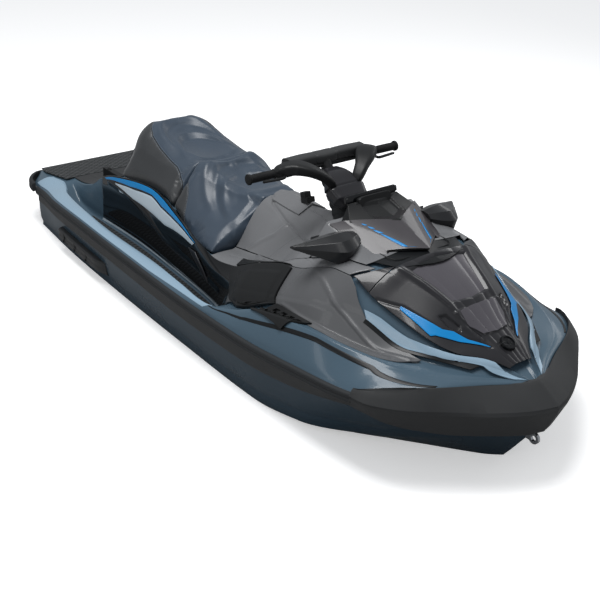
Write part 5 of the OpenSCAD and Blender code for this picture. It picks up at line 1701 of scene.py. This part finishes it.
    def windshield(self) -> None:
        """Low screen: a wedge under a rolled lip, with a sunk tray in the middle.

        Across from -1 to 1, each ring is a closed outline in X and Z from the lip down the
        screen to its foot and back up behind.
        """
        s = np.linspace(-1, 1, 97)
        k = np.abs(s)
        head = np.stack([0.630 + 0.009 * (1 - k), 0.138 * s, 0.812 - 0.004 * k], -1)
        foot = np.stack([0.808 - 0.105 * k, 0.188 * s, 0.7705 - 0.010 * k], -1)
        t = np.linspace(0, 1, 25)[None, :, None]
        face = head[:, None] * (1 - t) + foot[:, None] * t
        out = np.array([0.45, 0, 0.89])
        rim = 0.62 - 0.16 * t[..., 0]
        sunk = (np.clip((rim - k[:, None]) / 0.05, 0, 1) * np.clip((t[..., 0] - 0.12) / 0.08, 0, 1)
                * np.clip((0.92 - t[..., 0]) / 0.08, 0, 1))
        face = face - 0.012 * sunk[..., None] * out
        back = np.stack([foot + [-0.010, 0, -0.030], np.stack([0.646 + 0 * s, 0.185 * s, 0.745 + 0 * s], -1),
                         np.stack([0.646 - 0.010 * (k > 0.75), 0.138 * s, 0.806 + 0 * s], -1)], 1)
        obj = bevel(solid("windshield_moulded", np.concatenate([face, back], 1)), 0.002, 2, 40)
        piece(obj, SATIN_BLACK, "cover", "black_plastic", "visor", sharp=28)
        x, half, z = self.lip
        y = np.linspace(-half, half, 60)
        path = np.stack([x - 0.006 + 0 * y, y, z - 0.016 + 0 * y], -1)
        size = 0.017 * np.clip(1.02 - (np.abs(y) / half) ** 40, 0.75, 1)
        tall, thick = np.array([-0.28, 0, 0.96]), np.array([0.96, 0, 0.28])
        loop = superellipse(32, 0.6)
        ring = loop[:, 1:] * tall + 0.42 * loop[:, :1] * thick
        obj = solid("windshield_lip", path[:, None] + size[:, None, None] * ring)
        piece(obj, GLOSS_BLACK, "cover", "black_plastic", sharp=50)

    def gauge(self) -> None:
        """Display: a rounded housing, a glass face and plain scale marks round two dials."""
        place = (Matrix.Translation((0.638, 0, 0.806)) @ Matrix.Rotation(math.radians(-105), 4, "Y")
                 @ Matrix.Rotation(math.radians(90), 4, "Z"))
        loop = superellipse(72, (0.35, 0.5)) * [0.092, 0.022]

        def rings(*levels: tuple[float, float]) -> Array:
            """Outlines (scale, height) carried to the display."""
            return np.array([carried(np.column_stack([loop * k, np.full(len(loop), z)]), place) for k, z in levels])

        body = rings((0.96, -0.012), (1.0, -0.008), (1.0, 0.006), (0.97, 0.009), (0.93, 0.009), (0.92, 0.006))
        piece(solid("gauge_housing", body), SATIN_BLACK, "cover", "gloss_black", "gauge")
        glass = rings((0.925, 0.0055), (0.925, 0.0068), (0.9, 0.0075), (0.02, 0.0078))
        piece(solid("gauge_glass", glass), SCREEN, "cover", "gloss_black")
        marks = []
        for centre in (-0.045, 0.045):
            for turn in np.linspace(-2.2, 2.2, 9):
                spot = place @ Matrix.Translation((centre, 0, 0.0078)) @ Matrix.Rotation(turn, 4, "Z")
                marks.append(block("mark", (-0.0005, 0.0115, 0), (0.0005, 0.0155, 0.0004), spot, 0))
            needle = place @ Matrix.Translation((centre, 0, 0.0079)) @ Matrix.Rotation(-1.4, 4, "Z")
            marks.append(block("needle", (-0.0006, 0, 0), (0.0006, 0.0115, 0.0004), needle, 0))
        piece(joined("gauge_marks", marks), PAINT_WHITE, "cover", "gloss_black")

    def mirror(self, side: Side) -> None:
        """Mirror: a faceted wedge swept back to a tip, and its glass set in the rear face.

        Each station holds the outline rear top, top, front crease, bottom, rear bottom.
        """
        t, columns = np.linspace(0, 1, 60), np.array(self.mirror_rows).T
        y, *rest = (np.interp(t, np.linspace(0, 1, len(self.mirror_rows)), column) for column in columns)
        rear, front, top, crease, low = (averaged(values) for values in rest)
        deep, tall = front - rear, top - low
        corners = ((rear, top - 0.14 * tall), (rear + 0.30 * deep, top),
                   (rear + 0.72 * deep, top - 0.22 * (top - crease)), (front, crease), (rear + 0.88 * deep, low),
                   (rear + 0.04 * deep, low + 0.12 * tall))
        ring = np.stack([np.stack([x, y, z], -1) for x, z in corners], 1)
        flip = np.array([1, side.value, 1])
        obj = bevel(solid(f"mirror_{side.tag}_moulded", ring * flip), 0.0045, 3, 20)
        piece(obj, SHELL_BLACK, "cover", "black_plastic", f"mirror_{side.tag}", sharp=25)
        inner, s = slice(10, 54), np.linspace(0, 1, 10)
        z = (top - 0.22 * tall)[inner, None] * (1 - s) + (low + 0.20 * tall)[inner, None] * s
        points = np.stack([(rear - 0.0012)[inner, None] + 0 * z, y[inner, None] + 0 * z, z], -1)
        glass = wall(sheet(f"mirror_glass_{side.tag}", points * flip, (-1, 0, 0)), 0.002, 0.0006)
        piece(glass, MIRROR, "cover", "black_plastic")

    def build(self) -> None:
        """All of it."""
        self.base()
        self.lid()
        self.slot()
        self.windshield()
        self.gauge()
        for side in Side:
            self.mirror(side)


# --------------------------------------------------------------------------
# Steering
# --------------------------------------------------------------------------
@dataclass
class Steering:
    """Column boot, handlebar with its pad and neck, grips, levers and switch pods."""

    foot: tuple[float, float, float] = (0.345, 0.0, 0.830)
    lean: float = 35.0
    bar_y: float = 0.422
    bar_x: float = 0.317
    bar_z: float = 0.869
    grip_l: float = 0.142
    wing_path: Path = ((0.318, 0.276, 0.871), (0.330, 0.250, 0.880), (0.356, 0.205, 0.893), (0.396, 0.158, 0.886),
                       (0.430, 0.112, 0.862), (0.447, 0.080, 0.832), (0.452, 0.066, 0.808))
    pod_profile: Path = ((0.0, 0.196), (0.020, 0.196), (0.0235, 0.200), (0.0235, 0.234), (0.021, 0.239), (0.0, 0.239))
    perch_profile: Path = ((0.0132, 0.246), (0.022, 0.246), (0.024, 0.249), (0.024, 0.264), (0.022, 0.267),
                           (0.0132, 0.267))

    def axis(self) -> Matrix:
        """Frame of the column: its Z runs up the steering axis from the bar's foot."""
        return Matrix.Translation(self.foot) @ Matrix.Rotation(math.radians(-self.lean), 4, "Y")

    def boot(self) -> None:
        """Rubber bellows round the column: radius 0.041 + 0.004 * |sin| of the height, and wider
        at the foot by up to 0.012."""
        z = np.linspace(-0.225, -0.022, 90)
        r = 0.041 + 0.004 * np.abs(np.sin((z + 0.225) / 0.203 * math.pi * 6))
        r = r + 0.012 * np.clip((-0.17 - z) / 0.05, 0, 1)
        profile = [(0.0, z[0])] + list(zip(r, z)) + [(0.0, z[-1])]
        piece(turned("column_boot", profile, self.axis(), 56), RUBBER, "craft", "black_plastic", "column", sharp=70)

    def loft(self, name: str, path: Array, wide: Array, tall: Array, power: float) -> bpy.types.Object:
        """Body whose rings are superellipses |u|^n + |w|^n = 1, square to the path.

        Args:
            name: the piece's name.
            path: centre line, shape (n, 3).
            wide: half width across, in metres, for each point.
            tall: half height for each point.
            power: exponent of sine and cosine; under 1 makes the ring squarer.

        Returns:
            The body's object.
        """
        u, w = superellipse(56, power).T[:, None, :, None]
        across, over = square_to(path, (0, 0, 1))
        return solid(name, path[:, None] + wide[:, None, None] * u * across[:, None]
                     + tall[:, None, None] * w * over[:, None])

    def neck(self) -> None:
        """Shroud ahead of the column: it widens from the clamp forward and down, with a ring
        groove round it."""
        path = smooth_path([(0.352, 0, 0.846), (0.398, 0, 0.832), (0.440, 0, 0.800), (0.480, 0, 0.768),
                            (0.518, 0, 0.742)], 70)
        s, stops = np.linspace(0, 1, 70), [0, 0.22, 0.52, 0.62, 0.86, 1]
        cut = 1 - 0.09 * np.exp(-(((s - 0.56) / 0.018) ** 2))
        wide = np.interp(s, stops, [0.040, 0.058, 0.096, 0.096, 0.086, 0.060]) * cut
        tall = np.interp(s, stops, [0.012, 0.024, 0.034, 0.036, 0.036, 0.024]) * cut
        obj = self.loft("steering_neck", path, wide, tall, 0.45)
        piece(obj, CHARCOAL, "steering", "black_plastic", sharp=30)

    def pad(self) -> None:
        """Bar cover: a bar across the middle, a wing at each hand that rises to a peak, and
        an arm from each wing forward and down to the neck."""
        y = np.linspace(-0.215, 0.215, 101)
        k = np.abs(y)
        path = np.stack([0.302 + 0.10 * np.maximum(k - 0.12, 0), y, 0.890 + 0.004 * (k / 0.2)], -1)
        dent = 1 - 0.08 * np.exp(-(((k - 0.055) / 0.004) ** 2))
        wide = (0.030 + 0.004 * np.exp(-((k / 0.05) ** 4))) * dent
        obj = self.loft("bar_pad_moulded", path, wide, 0.025 * dent, 0.55)
        piece(obj, BUMPER, "steering", "black_plastic", "bar_pad", sharp=35)
        for side in Side:
            s, stops = np.linspace(0, 1, 80), [0, 0.05, 0.16, 0.34, 0.52, 0.70, 0.9, 1]
            path = smooth_path(self.wing_path, 80) * [1, side.value, 1]
            wide = np.interp(s, stops, [0.022, 0.027, 0.038, 0.048, 0.042, 0.031, 0.025, 0.018])
            tall = np.interp(s, stops, [0.018, 0.024, 0.028, 0.026, 0.023, 0.021, 0.020, 0.014])
            wing = self.loft(f"bar_wing_{side.tag}", path, wide, tall, 0.55)
            piece(wing, SATIN_BLACK, "steering", "black_plastic", sharp=35)

    def hand(self, side: Side) -> None:
        """Grip, switch pod and lever of one hand."""
        t, s = side.tag, side.value
        bar = Matrix.Translation((self.bar_x, 0, self.bar_z)) @ Matrix.Rotation(math.radians(-90 * s), 4, "X")
        start = self.bar_y - self.grip_l
        z = np.linspace(0.010, self.grip_l - 0.010, 100)
        r = 0.0165 + 0.0011 * (np.sin(z / 0.0048 * math.tau / 2) ** 2) + 0.0014 * np.sin(math.pi * z / self.grip_l)
        profile = ([(0.0, 0.0), (0.0205, 0.0), (0.0215, 0.002), (0.0215, 0.006), (0.018, 0.008)] + list(zip(r, z))
                   + [(0.021, self.grip_l - 0.011), (0.0235, self.grip_l - 0.008), (0.0235, self.grip_l - 0.002),
                      (0.021, self.grip_l), (0.0, self.grip_l)])
        grip = turned(f"grip_{t}_moulded", np.array(profile) + [0, start], bar, 48)
        piece(grip, GRIP, "steering", "grip_rubber", f"grip_{t}", sharp=60)
        pod = [turned("pod", self.pod_profile, bar, 40)]
        for y in s * (0.204 + 0.011 * np.arange(3)):
            pod.append(block("key", (self.bar_x - 0.020, y - 0.004, self.bar_z + 0.016),
                             (self.bar_x - 0.008, y + 0.004, self.bar_z + 0.0245), edge=0.001))
        nodes = ["switch_pod"] if side is Side.PORT else []
        piece(joined(f"switch_pod_{t}", pod), SATIN_BLACK, "steering", "black_plastic", *nodes)
        perch = turned("perch", self.perch_profile, bar, 40)
        drop = -0.006 if s < 0 else -0.014
        # ahead of the bar, out along it, and share of the drop
        bends = ((0.016, 0.256, 0), (0.040, 0.258, 0.5), (0.050, 0.275, 1), (0.048, 0.320, 1), (0.043, 0.365, 1),
                 (0.047, 0.372, 1))
        path = smooth_path([(self.bar_x + x, s * y, self.bar_z + drop * share) for x, y, share in bends], 50)
        thick = np.interp(np.linspace(0, 1, 50), [0, 0.2, 0.9, 1], [0.009, 0.0075, 0.007, 0.006])
        blade = tube("blade", path, thick, 18, flat=0.85)
        node = "reverse_lever" if s > 0 else "throttle_lever"
        piece(joined(f"{node}_cast", [perch, blade]), SATIN_BLACK, "steering", "black_plastic", node, sharp=50)

    def latch(self) -> None:
        """Latch of the glove box lid: a hooked post, with a darker block as painted shade for its finger slot."""
        lean = Matrix.Translation((0.215, 0, 0.650)) @ Matrix.Rotation(math.radians(-18), 4, "Y")
        post = block("post", (-0.020, -0.022, -0.004), (0.026, 0.022, 0.020), lean, edge=0.006)
        hook = block("hook", (-0.026, -0.017, 0.014), (0.008, 0.017, 0.044), lean, edge=0.008)
        piece(joined("glove_latch", [post, hook]), SATIN_BLACK, "glove_lid", "black_plastic")
        # painted shade: the finger slot is a darker block standing a little proud of the hook's sides, not a hollow
        slot = block("finger_slot_shade", (-0.018, -0.0176, 0.022), (-0.002, 0.0176, 0.034), lean, edge=0.003)
        piece(slot, LINER_GEL, "glove_lid", "black_plastic")

    def build(self) -> None:
        """All of it."""
        self.boot()
        self.neck()
        self.pad()
        for side in Side:
            self.hand(side)
        self.latch()


# --------------------------------------------------------------------------
# Rear deck
# --------------------------------------------------------------------------
@dataclass
class RearDeck:
    """Dark deck pad behind the seat, cargo rails, grab handle and sponson notches."""

    cup_profile: Path = ((0.006, 0), (0.013, 0), (0.013, 0.004), (0.011, 0.006), (0.0075, 0.006), (0.006, 0.004))

    def pad(self) -> None:
        """Ribbed pad from the platform to the seat: a grid a few millimetres over the deck."""
        x = np.linspace(-1.478, -0.972, 90)
        y = np.linspace(-1, 1, 60)[None]
        welt = 0.002 * np.exp(-(((np.abs(y) - 0.62) / 0.02) ** 2))
        groove = 0.0015 * (np.abs(np.sin(y * 30)) < 0.2) * (np.abs(y) < 0.45)
        points = stations(x, yz((SHOULDER(x)[:, :1] - 0.008) * y, BASE(x)[:, 1:] + 0.006 + welt - groove))
        obj = wall(sheet("rear_deck_pad", points, (0, 0, 1)), 0.005, 0.0012)
        piece(obj, BUMPER, "craft", "grey_plastic", sharp=45)

    def rails(self) -> None:
        """Two cargo rails: rounded bars with stepped ends and two lock holes each."""
        parts = []
        for s in (-1, 1):
            y = s * 0.12
            parts.append(block("rail", (-1.386, y - 0.017, 0.276), (-1.155, y + 0.017, 0.336), edge=0.005))
            for x in (-1.345, -1.20):
                cup = Matrix.Translation((x, y, 0.334))
                parts.append(turned("cup", self.cup_profile, cup, 28))
        piece(joined("cargo_rails", parts), SATIN_BLACK, "craft", "black_plastic", "cargo_base", sharp=45)

    def handle(self) -> None:
        """Grab handle behind the seat: a padded bar bent through its two feet and its back."""
        path = smooth_path([(-1.035, -0.150, 0.405), (-1.036, -0.152, 0.470), (-1.045, -0.138, 0.525),
                            (-1.062, -0.085, 0.545), (-1.070, 0, 0.551), (-1.062, 0.085, 0.545),
                            (-1.045, 0.138, 0.525), (-1.036, 0.152, 0.470), (-1.035, 0.150, 0.405)], 120)
        s = np.linspace(-1, 1, 120)
        size = 0.0115 + 0.0016 * np.clip(1 - np.abs(s) ** 6, 0, 1)
        obj = tube("grab_handle_padded", path, size, 24, up=(1, 0, 0.2))
        piece(obj, RUBBER, "craft", "grey_plastic", "grab_handle", sharp=60)

    def notches(self, side: Side) -> None:
        """Three hooked ribs on the sponson's outer face, in black."""
        parts = []
        for x in (-1.12, -0.985, -0.85):
            edge = float(CHINE(np.array(x))[0]) + 0.024 + 0.034
            y0, y1 = sorted((side.value * (edge - 0.012), side.value * (edge + 0.004)))
            parts.append(block("rib", (x, y0, 0.080), (x + 0.014, y1, 0.126), edge=0.002))
            parts.append(block("rib", (x, y0, 0.080), (x + 0.060, y1, 0.092), edge=0.002))
            parts.append(block("rib", (x + 0.020, y0, 0.116), (x + 0.060, y1, 0.126), edge=0.002))
        piece(joined(f"sponson_ribs_{side.tag}", parts), SATIN_BLACK, "craft", "grey_plastic")

    def build(self) -> None:
        """All of it."""
        self.pad()
        self.rails()
        self.handle()
        for side in Side:
            self.notches(side)


@dataclass
class Fittings:
    """Finishes of the CAD nodes that are shown as they are."""

    def build(self) -> None:
        """Dress every CAD node that no piece stands for."""
        finishes = {"engine": CAST, "bow_eye": STEEL, "pump_housing": CAST, "intake_grate": CAST,
                    "ride_plate": CAST, "ladder_bracket": CAST, "handlebar": SATIN_BLACK, "glovebox_lid": TITANIUM,
                    "impeller": STEEL, "steering_nozzle": CAST, "reverse_bucket": SATIN_BLACK, "ladder": STEEL}
        for name, finish in finishes.items():
            dress(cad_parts[name], finish)


# --------------------------------------------------------------------------
# Stage
# --------------------------------------------------------------------------
@dataclass
class Stage:
    """Floor at the waterline, soft lamps, pale world and the camera."""

    eye: tuple[float, float, float] = (3.731, -3.026, 2.493)
    heading: float = 139.41
    dip: float = 26.82
    roll: float = 3.19
    lens: float = 65.96
    floor_half: float = 30.0

    def camera(self) -> None:
        """Camera from its heading, dip and roll in degrees.

        The view axis is (cos dip cos heading, cos dip sin heading, -sin dip); the
        picture's right is square to it and level, and both turn by the roll.
        """
        yaw, dip, roll = (math.radians(a) for a in (self.heading, self.dip, self.roll))
        ahead = Vector((math.cos(dip) * math.cos(yaw), math.cos(dip) * math.sin(yaw), -math.sin(dip)))
        right = ahead.cross(Vector((0, 0, 1))).normalized()
        up = right.cross(ahead)
        right, up = (right * math.cos(roll) + up * math.sin(roll), up * math.cos(roll) - right * math.sin(roll))
        lens = bpy.data.cameras.new("camera")
        lens.lens, lens.sensor_width, lens.clip_end = self.lens, 36.0, 200.0
        obj = placed("camera", lens)
        obj.matrix_world = Matrix.Translation(self.eye) @ Matrix((right, up, -ahead)).transposed().to_4x4()
        bpy.context.scene.camera = obj

    def floor(self) -> None:
        """Pale floor; seen by the camera it glows towards white, and it keeps the shadow."""
        h = self.floor_half
        obj = new_object("floor", np.array([[-h, -h, 0], [h, -h, 0], [h, h, 0], [-h, h, 0]]), [[0, 1, 2, 3]])
        mat = bpy.data.materials.new("paper_white_matt")
        tree = blank_tree(mat)
        matt = add(tree, "ShaderNodeBsdfDiffuse", values={"Color": (0.92, 0.92, 0.92, 1)})
        glow = add(tree, "ShaderNodeEmission", values={"Color": (1, 1, 1, 1), "Strength": 0.42})
        sight = add(tree, "ShaderNodeLightPath")
        dim = add(tree, "ShaderNodeBsdfDiffuse", values={"Color": (0.40, 0.40, 0.40, 1)})
        both = add(tree, "ShaderNodeAddShader", links={0: matt.outputs[0], 1: glow.outputs[0]})
        pick = add(tree, "ShaderNodeMixShader",
                   links={0: sight.outputs["Is Camera Ray"], 1: dim.outputs[0], 2: both.outputs[0]})
        add(tree, "ShaderNodeOutputMaterial", links={"Surface": pick.outputs[0]})
        obj.data.materials.append(mat)

    def lamp(self, name: str, at: Sequence[float], aim: Sequence[float], size: Sequence[float], watts: float) -> None:
        """Soft rectangular lamp.

        Args:
            name: its name.
            at: its place in metres.
            aim: the point that it looks at.
            size: its two sides in metres.
            watts: its power.
        """
        data = bpy.data.lights.new(name, "AREA")
        data.shape, data.size, data.size_y, data.energy = "RECTANGLE", size[0], size[1], watts
        look = (Vector(aim) - Vector(at)).to_track_quat("-Z", "Y")
        placed(name, data).matrix_world = Matrix.Translation(at) @ look.to_matrix().to_4x4()

    def lights(self) -> None:
        """Key from above the bow, long strip lamps along both sides, pale world."""
        self.lamp("key", (0.2, -0.9, 5.2), (0.0, 0.0, 0.2), (3.0, 2.2), 250)
        self.lamp("strip_starboard", (0.0, -5.0, 2.6), (0.0, 0.0, 0.3), (5.0, 0.7), 36)
        self.lamp("strip_port", (0.0, 5.0, 3.0), (0.0, 0.0, 0.3), (5.0, 0.8), 30)
        self.lamp("bow", (6.0, 1.5, 2.5), (1.0, 0.0, 0.3), (2.0, 1.5), 10)
        world = bpy.data.worlds.new("studio")
        bpy.context.scene.world = world
        tree = blank_tree(world)
        soft = add(tree, "ShaderNodeBackground", values={"Color": (0.93, 0.96, 1.0, 1), "Strength": 0.42})
        white = add(tree, "ShaderNodeBackground", values={"Color": (1, 1, 1, 1), "Strength": 1.0})
        sight = add(tree, "ShaderNodeLightPath")
        pick = add(tree, "ShaderNodeMixShader",
                   links={0: sight.outputs["Is Camera Ray"], 1: soft.outputs[0], 2: white.outputs[0]})
        add(tree, "ShaderNodeOutputWorld", links={"Surface": pick.outputs[0]})

    def build(self) -> None:
        """Everything that isn't the craft."""
        bpy.context.scene.view_settings.view_transform = "Standard"
        self.camera()
        self.floor()
        self.lights()


def main() -> None:
    """Build the craft from the hull up, then the stage."""
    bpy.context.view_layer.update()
    for part in (Stage(), Hull(), Deck(), Panels(), Seats(), Storage(), Steering(), RearDeck(), Fittings()):
        log.info("-- %s", type(part).__name__)
        part.build()
    bpy.context.view_layer.update()


if __name__ == "__main__":
    main()
